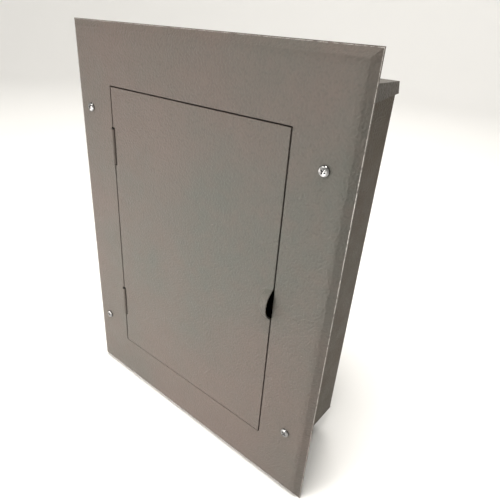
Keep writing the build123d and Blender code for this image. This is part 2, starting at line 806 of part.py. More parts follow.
# ---- Lamps -----------------------------------------------------------------------------
def lamp_group(first, count):
    """Round-tipped lamps on the operator board, from this place in the row on."""
    stem = dress_top + lamp_rise - lamp_radius - operator_top
    start = (lamp_row[0] + first * lamp_pitch, lamp_row[1])
    with BuildPart(level(operator_top)) as lamps:
        with Locations(start):
            with GridLocations(lamp_pitch, 0, count, 1, align=(Align.MIN, Align.CENTER)):
                Cylinder(lamp_radius, stem, align=(Align.CENTER, Align.CENTER, Align.MIN))
                with Locations((0, 0, stem)):
                    Sphere(lamp_radius)
    return lamps


power_lamp = lamp_group(0, 1)
alarm_lamp = lamp_group(1, 1)
trouble_lamps = lamp_group(2, 4)


# ---- Push buttons ------------------------------------------------------------------------
def push_button(index):
    """A square button whose flange is kept behind the panel and whose stem is in its switch."""
    place = (button_row[0] + index * button_pitch, button_row[1])
    flange_side = button_side + 2 * (button_play + button_flange[0])
    flange_front = dress_level - thread_clearance
    stem_end = operator_top + switch_floor + button_travel + stem_play
    with BuildPart() as button:
        with BuildSketch(level(flange_front)):
            with Locations(place):
                RectangleRounded(button_side, button_side, 1.2)
        extrude(amount=dress_top + button_rise - flange_front)
        fillet(button.faces().sort_by(Axis.Y)[0].edges(), 0.8)
        with BuildSketch(level(flange_front)):
            with Locations(place):
                RectangleRounded(flange_side, flange_side, 1)
        extrude(amount=-button_flange[1])
        with BuildSketch(level(flange_front - button_flange[1])):
            with Locations(place):
                Circle(button_stem)
        extrude(amount=stem_end - flange_front + button_flange[1])
    return button


silence_button = push_button(0)
acknowledge_button = push_button(1)
drill_button = push_button(2)
reset_button = push_button(3)

with BuildPart(level(operator_top)) as button_switches:
    with Locations(button_row):
        with GridLocations(button_pitch, 0, 4, 1, align=(Align.MIN, Align.CENTER)):
            Box(
                switch_size[0], switch_size[0], switch_size[1],
                align=(Align.CENTER, Align.CENTER, Align.MIN),
            )
            with Locations((0, 0, switch_floor)):
                Cylinder(
                    button_stem + stem_play, switch_size[1],
                    align=(Align.CENTER, Align.CENTER, Align.MIN), mode=Mode.SUBTRACT,
                )

# ---- Key switch ---------------------------------------------------------------------------
key_bezel_top = dress_top + key_face[1]

with BuildPart() as key_switch_body:
    with BuildSketch(level(dress_top)):
        with Locations(key_place):
            Circle(key_face[0])
    extrude(amount=key_face[1])
    fillet(key_switch_body.edges().group_by(Axis.Y)[0], 0.8)
    with BuildSketch(level(dress_top)):
        with Locations(key_place):
            Circle(key_body_radius)
    extrude(amount=-key_body_length)
    with BuildSketch(level(key_bezel_top)):
        with Locations(key_place):
            Circle(key_barrel_radius + key_clearance)
    extrude(amount=-key_barrel_length - key_clearance, mode=Mode.SUBTRACT)

with BuildPart() as key_barrel:
    with BuildSketch(level(key_bezel_top)):
        with Locations(key_place):
            Circle(key_barrel_radius)
    extrude(amount=-key_barrel_length)
    with BuildSketch(level(key_bezel_top)):
        with Locations(key_place):
            Rectangle(key_slot[1], key_slot[0])
    extrude(amount=-key_slot[2], mode=Mode.SUBTRACT)

with BuildPart() as key_switch_nut:
    with BuildSketch(level(dress_level)):
        with Locations(key_place):
            RegularPolygon(key_nut[0], 6)
            Circle(key_body_radius + thread_clearance, mode=Mode.SUBTRACT)
    extrude(amount=-key_nut[1])

with BuildPart() as sounder:
    with BuildSketch(level(operator_top)):
        with Locations(sounder_place):
            Circle(sounder_radius)
    extrude(amount=sounder_height)
    with BuildSketch(level(operator_top + sounder_height)):
        with Locations(sounder_place):
            Circle(2)
    extrude(amount=-2, mode=Mode.SUBTRACT)

# ---- Batteries -----------------------------------------------------------------------------
tray_floor = -half_height + sheet
battery_base = tray_floor + sheet
tray_left = battery_left - battery_play - sheet
tray_width = 2 * battery_size[0] + battery_gap + 2 * battery_play + 2 * sheet
tray_centre = tray_left + tray_width / 2
tray_level = 2 * sheet
battery_back = tray_level + sheet + battery_play
battery_front = battery_back + battery_size[2]
battery_x = [battery_left + battery_size[0] * (n + 0.5) + battery_gap * n for n in (0, 1)]
battery_top = battery_base + battery_size[1]

with BuildPart() as battery_tray:
    with BuildSketch(Plane.XY.offset(tray_floor)):
        with Locations((tray_centre, -tray_level)):
            Rectangle(
                tray_width,
                battery_front + battery_play + sheet - tray_level,
                align=(Align.CENTER, Align.MAX),
            )
    extrude(amount=sheet)
    with BuildSketch(level(tray_level)):
        with Locations((tray_centre, tray_floor)):
            Rectangle(tray_width, tray_back, align=(Align.CENTER, Align.MIN))
    extrude(amount=sheet)
    with BuildSketch(level(battery_front + battery_play)):
        with Locations((tray_centre, tray_floor)):
            Rectangle(tray_width, tray_lip, align=(Align.CENTER, Align.MIN))
    extrude(amount=sheet)

with BuildPart() as batteries:
    with BuildSketch(Plane.XY.offset(battery_base)):
        with Locations(*[(x, -(battery_back + battery_front) / 2) for x in battery_x]):
            RectangleRounded(battery_size[0], battery_size[2], 3)
    extrude(amount=battery_size[1])
    fillet(batteries.edges().group_by(Axis.Z)[-1], 1.5)

tab_reach = battery_size[0] / 2 - tab_inset
tab_forward = battery_front - tab_inset
tab_places = [(x + side * tab_reach, -tab_forward) for x in battery_x for side in (-1, 1)]

with BuildPart() as battery_terminals:
    with BuildSketch(Plane.XY.offset(battery_top)):
        with Locations(*tab_places):
            Rectangle(terminal_tab[0], terminal_tab[2])
    extrude(amount=terminal_tab[1])

with BuildPart() as battery_strap:
    strap_z = battery_base + strap_above_base
    strap_half = battery_size[0] + battery_gap / 2 + strap_gap
    strap_top = battery_front + strap_gap
    with BuildSketch(Plane.XY.offset(strap_z)):
        with Locations((tray_centre, -sheet)):
            Rectangle(
                2 * strap_half + 2 * sheet, strap_top, align=(Align.CENTER, Align.MAX)
            )
            Rectangle(
                2 * strap_half,
                strap_top - sheet,
                align=(Align.CENTER, Align.MAX),
                mode=Mode.SUBTRACT,
            )
    extrude(amount=strap_height)
    with BuildSketch(level(sheet)):
        foot_x = tray_centre + strap_half
        with Locations((foot_x, strap_z)):
            Rectangle(strap_foot, strap_height, align=(Align.MIN, Align.MIN))
    extrude(amount=sheet)

# ---- Transformer ---------------------------------------------------------------------------
core_level = 2 * sheet + (coil_depth - core_size[2]) / 2

with BuildPart() as transformer_core:
    with BuildSketch(level(core_level)):
        with Locations(transformer_centre):
            Rectangle(core_size[0], core_size[1])
            with GridLocations(core_size[0] / 2, 0, 2, 1):
                Rectangle(core_size[0] / 6, core_size[1] - core_size[0] / 3, mode=Mode.SUBTRACT)
    extrude(amount=core_size[2])

core_leg = core_size[0] / 3
window_height = core_size[1] - core_size[0] / 3
coil_width = 2 * core_leg - 0.6
coil_height = window_height - 0.6
coil_top = 2 * sheet + coil_depth

with BuildPart() as transformer_coil:
    with BuildSketch(level(2 * sheet)):
        with Locations(transformer_centre):
            RectangleRounded(coil_width, coil_height, 2)
    extrude(amount=coil_depth)
    with BuildSketch(level(core_level)):
        with Locations(transformer_centre):
            Rectangle(core_leg, window_height)
    extrude(amount=core_size[2], mode=Mode.SUBTRACT)

with BuildPart() as transformer_frame:
    with BuildSketch(Plane.XY.offset(transformer_centre[1] - transformer_strap / 2)):
        with Locations((transformer_centre[0], -sheet)):
            Rectangle(
                core_size[0] + 2 * sheet, coil_top, align=(Align.CENTER, Align.MAX)
            )
            Rectangle(
                core_size[0] + 2 * (sheet + transformer_foot), sheet,
                align=(Align.CENTER, Align.MAX),
            )
            Rectangle(
                core_size[0], coil_top - sheet,
                align=(Align.CENTER, Align.MAX), mode=Mode.SUBTRACT,
            )
    extrude(amount=transformer_strap)

# ---- Earth stud ----------------------------------------------------------------------------
with BuildPart() as earth_stud:
    with BuildSketch(level(sheet)):
        with Locations(earth_place):
            Circle(earth_stud_radius)
    extrude(amount=earth_stud_length)
    with BuildSketch(level(sheet)):
        with Locations(earth_place):
            RegularPolygon(earth_nut[0], 6)
    extrude(amount=earth_nut[1])


# ---- Leads -----------------------------------------------------------------------------------
def lead(route):
    """A round lead: straight runs joined by arcs as large as the shorter run allows."""
    points = [Vector(*point) for point in route]
    bends = []
    for before, corner, after in zip(points, points[1:], points[2:]):
        turn = (corner - before).get_angle(after - corner)
        shorter = min((corner - before).length, (after - corner).length)
        bends.append(0.45 * shorter / tan(radians(turn / 2)))
    print("lead bends", [round(bend, 1) for bend in bends])
    with BuildPart() as wire:
        with BuildLine() as path:
            FilletPolyline(*points, radius=bends)
        with BuildSketch(Plane(origin=path.line @ 0, z_dir=path.line % 0)):
            Circle(lead_radius)
        sweep()
    return wire.part


def wire_entry_mouth(block, pole):
    """Where a lead enters a pole of the lower left (0) or lower right (1) terminal block."""
    block_x = (block - 0.5) * terminal_spread
    x = block_x + (pole - (terminal_poles - 1) / 2) * pole_pitch
    return (x, -entry_level, terminal_rows[0] - terminal_size[1] / 2)


entry_end = wire_entry[2] - 1
sleeve_top = battery_top + sleeve_lift + lead_sleeve[2]
tab_tops = [(x, y, sleeve_top) for x, y in tab_places]
negative_end = wire_entry_mouth(0, 6)
positive_end = wire_entry_mouth(0, 7)
supply_ends = (wire_entry_mouth(1, 1), wire_entry_mouth(1, 2))

negative_route = (
    tab_tops[0],
    (tab_tops[0][0] + 1, -61, -66),
    (tab_tops[0][0] + 18, -59, -55),
    (-76, -55, -52),
    (-50, -49, -56),
    (-28, -38, -56),
    (negative_end[0], negative_end[1], -46),
    (negative_end[0], negative_end[1], negative_end[2] + entry_end),
)
positive_route = (
    tab_tops[3],
    (tab_tops[3][0], -61, -66),
    (26, -57, -56),
    (10, -48, -53),
    (-3, -37, -50),
    (positive_end[0], positive_end[1], -41),
    (positive_end[0], positive_end[1], positive_end[2] + entry_end),
)
jumper_route = (
    tab_tops[1],
    (tab_tops[1][0], -61.4, -70),
    ((tab_tops[1][0] + tab_tops[2][0]) / 2, -61.4, -62),
    (tab_tops[2][0], -61.4, -70),
    tab_tops[2],
)
coil_exit_z = transformer_centre[1] + coil_height / 2
supply_routes = (
    (
        (transformer_centre[0] - 8, -43, coil_exit_z),
        (transformer_centre[0] - 8, -43, coil_exit_z + 19.3),
        (78, -42, -90),
        (52, -38, -69),
        (26, -33, -59),
        (supply_ends[0][0], supply_ends[0][1], -46),
        (supply_ends[0][0], supply_ends[0][1], supply_ends[0][2] + entry_end),
    ),
    (
        (transformer_centre[0] + 6, -43, coil_exit_z),
        (transformer_centre[0] + 6, -43, coil_exit_z + 21.3),
        (90, -41, -84),
        (62, -37, -62),
        (36, -33, -53),
        (supply_ends[1][0], supply_ends[1][1], -42),
        (supply_ends[1][0], supply_ends[1][1], supply_ends[1][2] + entry_end),
    ),
)

with BuildPart() as lead_sleeves:
    with BuildSketch(Plane.XY.offset(battery_top + sleeve_lift)):
        with Locations(*tab_places):
            Rectangle(lead_sleeve[0], lead_sleeve[1])
    extrude(amount=lead_sleeve[2])
    fillet(lead_sleeves.edges().group_by(Axis.Z)[-1], 0.8)
    with BuildSketch(Plane.XY.offset(battery_top)):
        with Locations(*tab_places):
            Rectangle(terminal_tab[0], terminal_tab[2])
    extrude(amount=terminal_tab[1], mode=Mode.SUBTRACT)

with BuildPart() as battery_leads:
    add(lead_sleeves.part)
    add(lead(negative_route))
    add(lead(positive_route))
    add(lead(jumper_route))

with BuildPart() as transformer_leads:
    add(lead(supply_routes[0]))
    add(lead(supply_routes[1]))

with BuildPart() as ribbon_cable:
    ribbon_levels = (board_top, operator_level)
    with BuildSketch(level(board_top)):
        with Locations((ribbon_x, ribbon_ends_z[0])):
            Rectangle(ribbon_width, ribbon_header[0])
    extrude(amount=ribbon_header[1])
    with BuildSketch(level(operator_level)):
        with Locations((ribbon_x, ribbon_ends_z[1])):
            Rectangle(ribbon_width, ribbon_header[0])
    extrude(amount=-ribbon_header[1])
    with BuildSketch(Plane.YZ.offset(ribbon_x - ribbon_width / 2 + 1)):
        with BuildLine():
            FilletPolyline(
                (-board_top - ribbon_header[1], ribbon_ends_z[0]),
                (-board_top - ribbon_header[1] - 14, ribbon_ends_z[0]),
                (-operator_level + ribbon_header[1] + 12, ribbon_ends_z[1]),
                (-operator_level + ribbon_header[1], ribbon_ends_z[1]),
                radius=6,
            )
        trace(line_width=ribbon_thickness)
    extrude(amount=ribbon_width - 2)

# ---- Files -------------------------------------------------------------------------------------
pieces = {
    "back_box": back_box,
    "top_end_plate": top_end_plate,
    "bottom_end_plate": bottom_end_plate,
    "nut_plates": nut_plates,
    "knockout_discs": knockout_discs,
    "cable_bushing": cable_bushing,
    "trim_frame": trim_frame,
    "trim_screws": trim_screws,
    "door_panel": door_panel,
    "door_stiffener": door_stiffener,
    "hinge_trim_leaves": hinge_trim_leaves,
    "hinge_door_leaves": hinge_door_leaves,
    "hinge_pins": hinge_pins,
    "catch_bracket": catch_bracket,
    "catch_housing": catch_housing,
    "catch_magnet": catch_magnet,
    "catch_strike": catch_strike,
    "chassis_studs": chassis_studs,
    "chassis_plate": chassis_plate,
    "chassis_nuts": chassis_nuts,
    "main_board": main_board,
    "board_standoffs": board_standoffs,
    "board_screws": board_screws,
    "terminal_blocks": terminal_blocks,
    "terminal_screws": terminal_screws,
    "relays": relays,
    "fuse_holders": fuse_holders,
    "fuses": fuses,
    "capacitors": capacitors,
    "logic_chips": logic_chips,
    "dress_panel": dress_panel,
    "dress_posts": dress_posts,
    "dress_screws": dress_screws,
    "operator_board": operator_board,
    "operator_spacers": operator_spacers,
    "display_module": display_module,
    "display_window": display_window,
    "power_lamp": power_lamp,
    "alarm_lamp": alarm_lamp,
    "trouble_lamps": trouble_lamps,
    "silence_button": silence_button,
    "acknowledge_button": acknowledge_button,
    "drill_button": drill_button,
    "reset_button": reset_button,
    "button_switches": button_switches,
    "key_switch_body": key_switch_body,
    "key_barrel": key_barrel,
    "key_switch_nut": key_switch_nut,
    "sounder": sounder,
    "battery_tray": battery_tray,
    "batteries": batteries,
    "battery_terminals": battery_terminals,
    "battery_strap": battery_strap,
    "battery_leads": battery_leads,
    "transformer_core": transformer_core,
    "transformer_coil": transformer_coil,
    "transformer_frame": transformer_frame,
    "transformer_leads": transformer_leads,
    "earth_stud": earth_stud,
    "ribbon_cable": ribbon_cable,
}

for name, piece in pieces.items():
    piece.part.label = name
    export_step(piece.part, f"parts/{name}.step")
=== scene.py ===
# %% [markdown]
# # A flush fire alarm control panel
# This lesson dresses a finished CAD model. The model is a sheet-steel cabinet that is let
# into a wall: a trim frame lies on the wall, a door sits level with it, and the back box
# with the electrics is behind. Every length is in metres. X runs to the right as one
# faces the door, Z runs up, and the front faces -Y.

import json
import math

import bmesh
import bpy
from mathutils import Matrix, Vector

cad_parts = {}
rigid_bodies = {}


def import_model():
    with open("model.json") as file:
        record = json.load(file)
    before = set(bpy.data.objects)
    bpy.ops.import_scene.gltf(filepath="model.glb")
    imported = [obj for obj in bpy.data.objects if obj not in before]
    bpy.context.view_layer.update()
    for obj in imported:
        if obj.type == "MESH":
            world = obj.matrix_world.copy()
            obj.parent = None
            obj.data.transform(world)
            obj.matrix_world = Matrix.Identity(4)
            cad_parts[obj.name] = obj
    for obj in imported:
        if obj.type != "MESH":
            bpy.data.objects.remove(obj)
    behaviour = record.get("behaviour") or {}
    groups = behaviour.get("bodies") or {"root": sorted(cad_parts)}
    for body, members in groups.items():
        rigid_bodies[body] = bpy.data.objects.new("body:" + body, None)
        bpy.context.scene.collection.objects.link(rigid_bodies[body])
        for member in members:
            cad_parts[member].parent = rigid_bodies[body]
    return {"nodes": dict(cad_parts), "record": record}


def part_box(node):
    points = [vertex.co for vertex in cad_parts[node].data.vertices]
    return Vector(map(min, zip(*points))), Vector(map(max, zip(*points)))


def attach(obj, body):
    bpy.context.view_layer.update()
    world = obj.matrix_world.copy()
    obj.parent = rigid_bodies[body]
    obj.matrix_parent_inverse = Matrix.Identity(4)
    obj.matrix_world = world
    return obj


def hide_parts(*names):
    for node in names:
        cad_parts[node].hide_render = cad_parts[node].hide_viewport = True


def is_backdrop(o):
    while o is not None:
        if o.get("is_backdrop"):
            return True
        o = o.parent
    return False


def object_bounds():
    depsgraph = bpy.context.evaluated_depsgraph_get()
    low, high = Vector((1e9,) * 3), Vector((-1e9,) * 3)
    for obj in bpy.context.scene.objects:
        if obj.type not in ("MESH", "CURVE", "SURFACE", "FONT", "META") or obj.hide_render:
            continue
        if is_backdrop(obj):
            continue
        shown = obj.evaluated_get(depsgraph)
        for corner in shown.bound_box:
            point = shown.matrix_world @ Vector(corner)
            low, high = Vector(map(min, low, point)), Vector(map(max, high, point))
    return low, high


for stray in list(bpy.data.objects):
    bpy.data.objects.remove(stray)
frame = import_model()
cad_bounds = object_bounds()
print("nodes", len(frame["nodes"]))
print("bounds", [[round(c, 4) for c in corner] for corner in cad_bounds])

# %% [markdown]
# ## Where things are
# A piece is placed from the CAD model's own corners, never by eye.

# %% Measures of the cabinet
MM = 0.001
trim_low, trim_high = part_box("trim_frame")
front_y = trim_low.y
floor_z = trim_low.z
print("trim", round(trim_high.x - trim_low.x, 4), "x", round(trim_high.z - trim_low.z, 4))

# %% [markdown]
# ## Camera
# The camera stands right of the panel and a little above it, and looks down to the left.
# It is given as a camera operator would say it: where it stands, how far it is turned
# and tilted, and how much it is rolled. The short lens is what makes the verticals lean.

# %% Stand the camera
CAMERA_PLACE = Vector((0.3010, front_y - 0.2858, 0.2319))
CAMERA_TURN = 37.08
CAMERA_TILT = 27.06
CAMERA_ROLL = 4.46
CAMERA_LENS = 31.7

camera = bpy.data.objects.new("camera", bpy.data.cameras.new("camera"))
bpy.context.scene.collection.objects.link(camera)
camera.data.lens = CAMERA_LENS
camera.data.sensor_width = 36.0
camera.data.clip_start = 0.01
turn = Matrix.Rotation(math.radians(CAMERA_TURN), 4, "Z")
tilt = Matrix.Rotation(math.radians(90 - CAMERA_TILT), 4, "X")
roll = Matrix.Rotation(math.radians(CAMERA_ROLL), 4, "Z")
camera.matrix_world = Matrix.Translation(CAMERA_PLACE) @ turn @ tilt @ roll
bpy.context.scene.camera = camera

# %% [markdown]
# ## Floor and light
# The object stands in a round studio of pale paper: a flat floor that curves up into a
# wall all round, so no horizon shows from any side. Its profile is a line, an arc and a
# line, and it is spun round. Light comes as in a bright room: a broad window far to the
# left in front, soft light from the ceiling, a round lamp high behind, and two small
# softboxes low in front that lift the left side and the foot. A softbox's cone is narrower
# than a half circle, so its light fades out on the wall instead of ending in a hard line.
# The colours are shown as they are, without a film look.

# %% Make the studio and the lights
STUDIO_FLOOR = 3.2
STUDIO_CURVE = 1.4
STUDIO_HEIGHT = 4.0
ARC_STEPS = 16
STUDIO_SIDES = 96
PAPER_COLOUR = (0.84, 0.84, 0.835)
WINDOW_COLOUR = (1.0, 0.98, 0.93)
ROOM_COLOUR = (1.0, 0.97, 0.92)
SIDE_COLOUR = (1.0, 0.93, 0.89)
FOOT_COLOUR = (1.0, 0.97, 0.93)
ROOM_STRENGTH = 0.35
SOFTBOX_SPREAD = math.radians(130)


def link(name, data):
    """Puts a mesh or a curve into the scene as an object at the origin."""
    piece = bpy.data.objects.new(name, data)
    bpy.context.scene.collection.objects.link(piece)
    return piece


def build_studio():
    """A floor that curves up into a wall all round."""
    profile = []
    for step in range(ARC_STEPS + 1):
        angle = math.radians(90) * step / ARC_STEPS
        reach = STUDIO_FLOOR + STUDIO_CURVE * math.sin(angle)
        profile.append((reach, floor_z + STUDIO_CURVE * (1 - math.cos(angle))))
    profile.append((STUDIO_FLOOR + STUDIO_CURVE, floor_z + STUDIO_HEIGHT))
    turns = [2 * math.pi * n / STUDIO_SIDES for n in range(STUDIO_SIDES)]
    corners = [(r * math.cos(t), r * math.sin(t), z) for r, z in profile for t in turns]
    faces = [tuple(range(STUDIO_SIDES))]
    for ring in range(len(profile) - 1):
        for n in range(STUDIO_SIDES):
            m = (n + 1) % STUDIO_SIDES
            low, high = ring * STUDIO_SIDES, (ring + 1) * STUDIO_SIDES
            faces.append((low + n, high + n, high + m, low + m))
    mesh = bpy.data.meshes.new("studio")
    mesh.from_pydata(corners, [], faces)
    mesh.shade_smooth()
    return link("studio", mesh)


def light(name, kind, power, colour):
    """A light that the camera doesn't see, and the object that holds it."""
    lamp = bpy.data.lights.new(name, kind)
    lamp.energy = power
    lamp.color = colour
    holder = bpy.data.objects.new(name, lamp)
    holder.visible_camera = False
    bpy.context.scene.collection.objects.link(holder)
    return lamp, holder


def softbox(name, place, target, size, power, colour):
    """A square area light that faces its target."""
    lamp, holder = light(name, "AREA", power, colour)
    lamp.size = size
    lamp.spread = SOFTBOX_SPREAD
    aim = (Vector(target) - Vector(place)).to_track_quat("-Z", "Y")
    holder.matrix_world = Matrix.Translation(place) @ aim.to_matrix().to_4x4()


studio = build_studio()
paper = bpy.data.materials.new("studio_paper")
paper.use_nodes = True
paper_shader = paper.node_tree.nodes["Principled BSDF"]
paper_shader.inputs["Base Color"].default_value = (*PAPER_COLOUR, 1)
paper_shader.inputs["Roughness"].default_value = 0.9
studio.data.materials.append(paper)
studio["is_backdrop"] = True

softbox("window_light", (-2.4, -3.7, 1.6), (0, -0.1, 0), 2.0, 56.0, WINDOW_COLOUR)
softbox("side_light", (-0.62, -0.62, -0.06), (-0.12, -0.1, -0.2), 0.25, 1.15, SIDE_COLOUR)
softbox("foot_light", (-0.12, -0.75, -0.12), (0.02, -0.1, -0.22), 0.16, 1.9, FOOT_COLOUR)
softbox("ceiling_light", (0.15, -0.7, 2.6), (0.1, -0.05, 0), 0.8, 33.0, ROOM_COLOUR)
room_lamp, lamp_holder = light("room_lamp", "POINT", 150.0, ROOM_COLOUR)
room_lamp.shadow_soft_size = 0.6
lamp_holder.location = (-0.7, 1.6, 2.5)

world = bpy.data.worlds.new("room")
world.use_nodes = True
sky = world.node_tree.nodes["Background"]
sky.inputs["Color"].default_value = (*ROOM_COLOUR, 1)
sky.inputs["Strength"].default_value = ROOM_STRENGTH
bpy.context.scene.world = world
bpy.context.scene.view_settings.view_transform = "Standard"

# %% [markdown]
# ## Tools for finishes
# All finishes start from Blender's Principled shader. Numbers that are even all over are
# set on its sockets. What varies comes from noise read in Object coordinates, so the
# pattern is fixed in the metal and doesn't slide when the view changes.

# %% Helpers for materials
def new_finish(name, colour, roughness, metallic=0.0, **sockets):
    """A Principled material with its even values set on the shader's own sockets."""
    material = bpy.data.materials.new(name)
    material.use_nodes = True
    material.diffuse_color = (*colour, 1)
    shader = material.node_tree.nodes["Principled BSDF"]
    shader.inputs["Base Color"].default_value = (*colour, 1)
    shader.inputs["Roughness"].default_value = roughness
    shader.inputs["Metallic"].default_value = metallic
    for socket, value in sockets.items():
        shader.inputs[socket.replace("_", " ")].default_value = value
    return material


def shader_of(material):
    """The material's Principled shader."""
    return material.node_tree.nodes["Principled BSDF"]


def object_space(material, stretch=(1, 1, 1)):
    """Object coordinates, optionally stretched along an axis."""
    nodes = material.node_tree.nodes
    place = nodes.new("ShaderNodeTexCoord")
    mapping = nodes.new("ShaderNodeMapping")
    mapping.inputs["Scale"].default_value = stretch
    material.node_tree.links.new(place.outputs["Object"], mapping.inputs["Vector"])
    return mapping.outputs["Vector"]


def noise(material, size, detail=2.0, rough=0.5):
    """Noise whose lumps are about this size in metres."""
    texture = material.node_tree.nodes.new("ShaderNodeTexNoise")
    texture.inputs["Scale"].default_value = 1 / size
    texture.inputs["Detail"].default_value = detail
    texture.inputs["Roughness"].default_value = rough
    material.node_tree.links.new(object_space(material), texture.inputs["Vector"])
    return texture.outputs["Fac"]


def remap(material, value, low, high, to_low=0.0, to_high=1.0):
    """Stretches the part of a value between low and high over a new range."""
    tree = material.node_tree
    stretch = tree.nodes.new("ShaderNodeMapRange")
    stretch.inputs["From Min"].default_value = low
    stretch.inputs["From Max"].default_value = high
    stretch.inputs["To Min"].default_value = to_low
    stretch.inputs["To Max"].default_value = to_high
    tree.links.new(value, stretch.inputs["Value"])
    return stretch.outputs["Result"]


def cell_texture(material, vector, spacing):
    """Cells about this far apart, in metres."""
    cells = material.node_tree.nodes.new("ShaderNodeTexVoronoi")
    cells.inputs["Scale"].default_value = 1 / spacing
    material.node_tree.links.new(vector, cells.inputs["Vector"])
    return cells


def specks(material, spacing, radius):
    """1 inside scattered specks of about this radius, 0 elsewhere."""
    cells = cell_texture(material, object_space(material), spacing)
    return remap(material, cells.outputs["Distance"], radius / spacing, 0.3 * radius / spacing)


def product(material, first, second):
    """Multiplies two values."""
    tree = material.node_tree
    times = tree.nodes.new("ShaderNodeMath")
    times.operation = "MULTIPLY"
    tree.links.new(first, times.inputs[0])
    tree.links.new(second, times.inputs[1])
    return times.outputs[0]


def blend_colour(material, mask, start, end):
    """Mixes two colours (or sockets) by a mask and returns the mixed socket."""
    tree = material.node_tree
    mixer = tree.nodes.new("ShaderNodeMix")
    mixer.data_type = "RGBA"
    tree.links.new(mask, mixer.inputs["Factor"])
    # Inputs 6 and 7 and output 2 are the ones for colours.
    for socket, source in ((mixer.inputs[6], start), (mixer.inputs[7], end)):
        if isinstance(source, tuple):
            socket.default_value = (*source, 1)
        else:
            tree.links.new(source, socket)
    return mixer.outputs[2]


def connect(material, output, socket):
    """Feeds an output to a socket of the shader."""
    material.node_tree.links.new(output, shader_of(material).inputs[socket])


def relief(material, heights):
    """Stacks bump layers, each a (height, depth in metres) pair."""
    tree = material.node_tree
    normal = None
    for height, depth in heights:
        bump = tree.nodes.new("ShaderNodeBump")
        bump.inputs["Strength"].default_value = 1.0
        bump.inputs["Distance"].default_value = depth
        tree.links.new(height, bump.inputs["Height"])
        if normal is not None:
            tree.links.new(normal, bump.inputs["Normal"])
        normal = bump.outputs["Normal"]
    connect(material, normal, "Normal")


# %% [markdown]
# ## Powder coat
# The cabinet is coated in a warm grey powder that is baked on. The powder doesn't flow
# quite flat, so it leaves a pebbled skin with lumps of about two millimetres. The colour
# is never even: some areas lean to pink and some to green, each as wide as a hand.
# Image textures would do, but noise keeps the grain the same size on every sheet.

# %% Mix the powder coat
COAT_WARM = (0.102, 0.081, 0.071)
COAT_COOL = (0.079, 0.079, 0.069)
COAT_SPECK = (0.22, 0.20, 0.175)
PEBBLE_SIZE = 2.1 * MM
PEBBLE_DEPTH = 1.1 * MM
# The box's two tones are darker and browner than the trim's: painted shade for its side.
BOX_SHADE_WARM = (0.072, 0.053, 0.038)
BOX_SHADE_COOL = (0.066, 0.056, 0.040)
CLOUD_SIZE = 200 * MM
BLOTCH_SIZE = 20 * MM
FINE_GRAIN = 0.7 * MM
DUST_SPACING = 45 * MM
DUST_RADIUS = 0.6 * MM


def powder_coat(name, warm, cool, speck, pebble_depth=PEBBLE_DEPTH):
    """Pebbled powder coat that wanders between two tones of one colour."""
    coat = new_finish(name, warm, 0.5, Specular_IOR_Level=0.25)
    clouds = noise(coat, CLOUD_SIZE, detail=3.0, rough=0.55)
    blotches = noise(coat, BLOTCH_SIZE, detail=3.0, rough=0.6)
    pebbles = noise(coat, PEBBLE_SIZE, detail=2.0, rough=0.45)
    tone = blend_colour(coat, remap(coat, clouds, 0.36, 0.64), warm, cool)
    pale = tuple(1.18 * channel for channel in warm)
    mottled = blend_colour(coat, remap(coat, blotches, 0.4, 0.75, 0.0, 0.4), tone, pale)
    # Painted shade: the low spots of the pebbles are darkened towards a deeper cool tone.
    hollow_shade = tuple(0.72 * channel for channel in cool)
    pebble_shaded = blend_colour(coat, remap(coat, pebbles, 0.5, 0.3, 0.0, 0.3), mottled, hollow_shade)
    dusty = blend_colour(coat, specks(coat, DUST_SPACING, DUST_RADIUS), pebble_shaded, speck)
    connect(coat, dusty, "Base Color")
    connect(coat, remap(coat, blotches, 0.3, 0.7, 0.5, 0.64), "Roughness")
    relief(coat, [(pebbles, pebble_depth), (noise(coat, FINE_GRAIN), 0.03 * MM)])
    return coat


cabinet_coat = powder_coat("warm_grey_powder_coat", COAT_WARM, COAT_COOL, COAT_SPECK)
# Painted shade: the box's coat is the trim's recipe in darker colours.
box_painted_shade_coat = powder_coat("box_shaded_powder_coat", BOX_SHADE_WARM, BOX_SHADE_COOL, COAT_SPECK)
print("coat nodes", len(cabinet_coat.node_tree.nodes))

# %% [markdown]
# ## Metals and plastics
# Inside the cabinet are some twenty smaller finishes. Metals share one recipe and
# moulded plastics another; each gets its own colour, gloss and grain. Plating is blotchy
# in its shine rather than its colour. A moulding has the fine bloom of an etched tool.

# %% Recipes for metal and plastic
def metal(name, colour, least_rough, most_rough, grain=3 * MM):
    """Metal whose shine wanders in blotches about as large as the grain."""
    finish = new_finish(name, colour, most_rough, metallic=1.0)
    lumps = noise(finish, grain, detail=4.0, rough=0.65)
    stain = tuple(0.78 * channel for channel in colour)
    connect(finish, blend_colour(finish, remap(finish, lumps, 0.5, 0.8), colour, stain), "Base Color")
    connect(finish, remap(finish, lumps, 0.3, 0.7, least_rough, most_rough), "Roughness")
    relief(finish, [(lumps, 0.02 * MM)])
    return finish


def moulded(name, colour, roughness, grain=0.6 * MM, depth=0.03 * MM):
    """Moulded plastic with an etched bloom and a little colour drift."""
    finish = new_finish(name, colour, roughness)
    bloom = noise(finish, grain, detail=2.0)
    drift = noise(finish, 30 * MM, detail=3.0)
    deep = tuple(0.8 * channel for channel in colour)
    connect(finish, blend_colour(finish, remap(finish, drift, 0.35, 0.65), colour, deep), "Base Color")
    connect(finish, remap(finish, drift, 0.3, 0.7, 0.85 * roughness, 1.15 * roughness), "Roughness")
    relief(finish, [(bloom, depth)])
    return finish


def axis_of(material, axis):
    """One Object coordinate, 0 for X, 1 for Y or 2 for Z."""
    tree = material.node_tree
    split = tree.nodes.new("ShaderNodeSeparateXYZ")
    tree.links.new(object_space(material), split.inputs["Vector"])
    return split.outputs[axis]


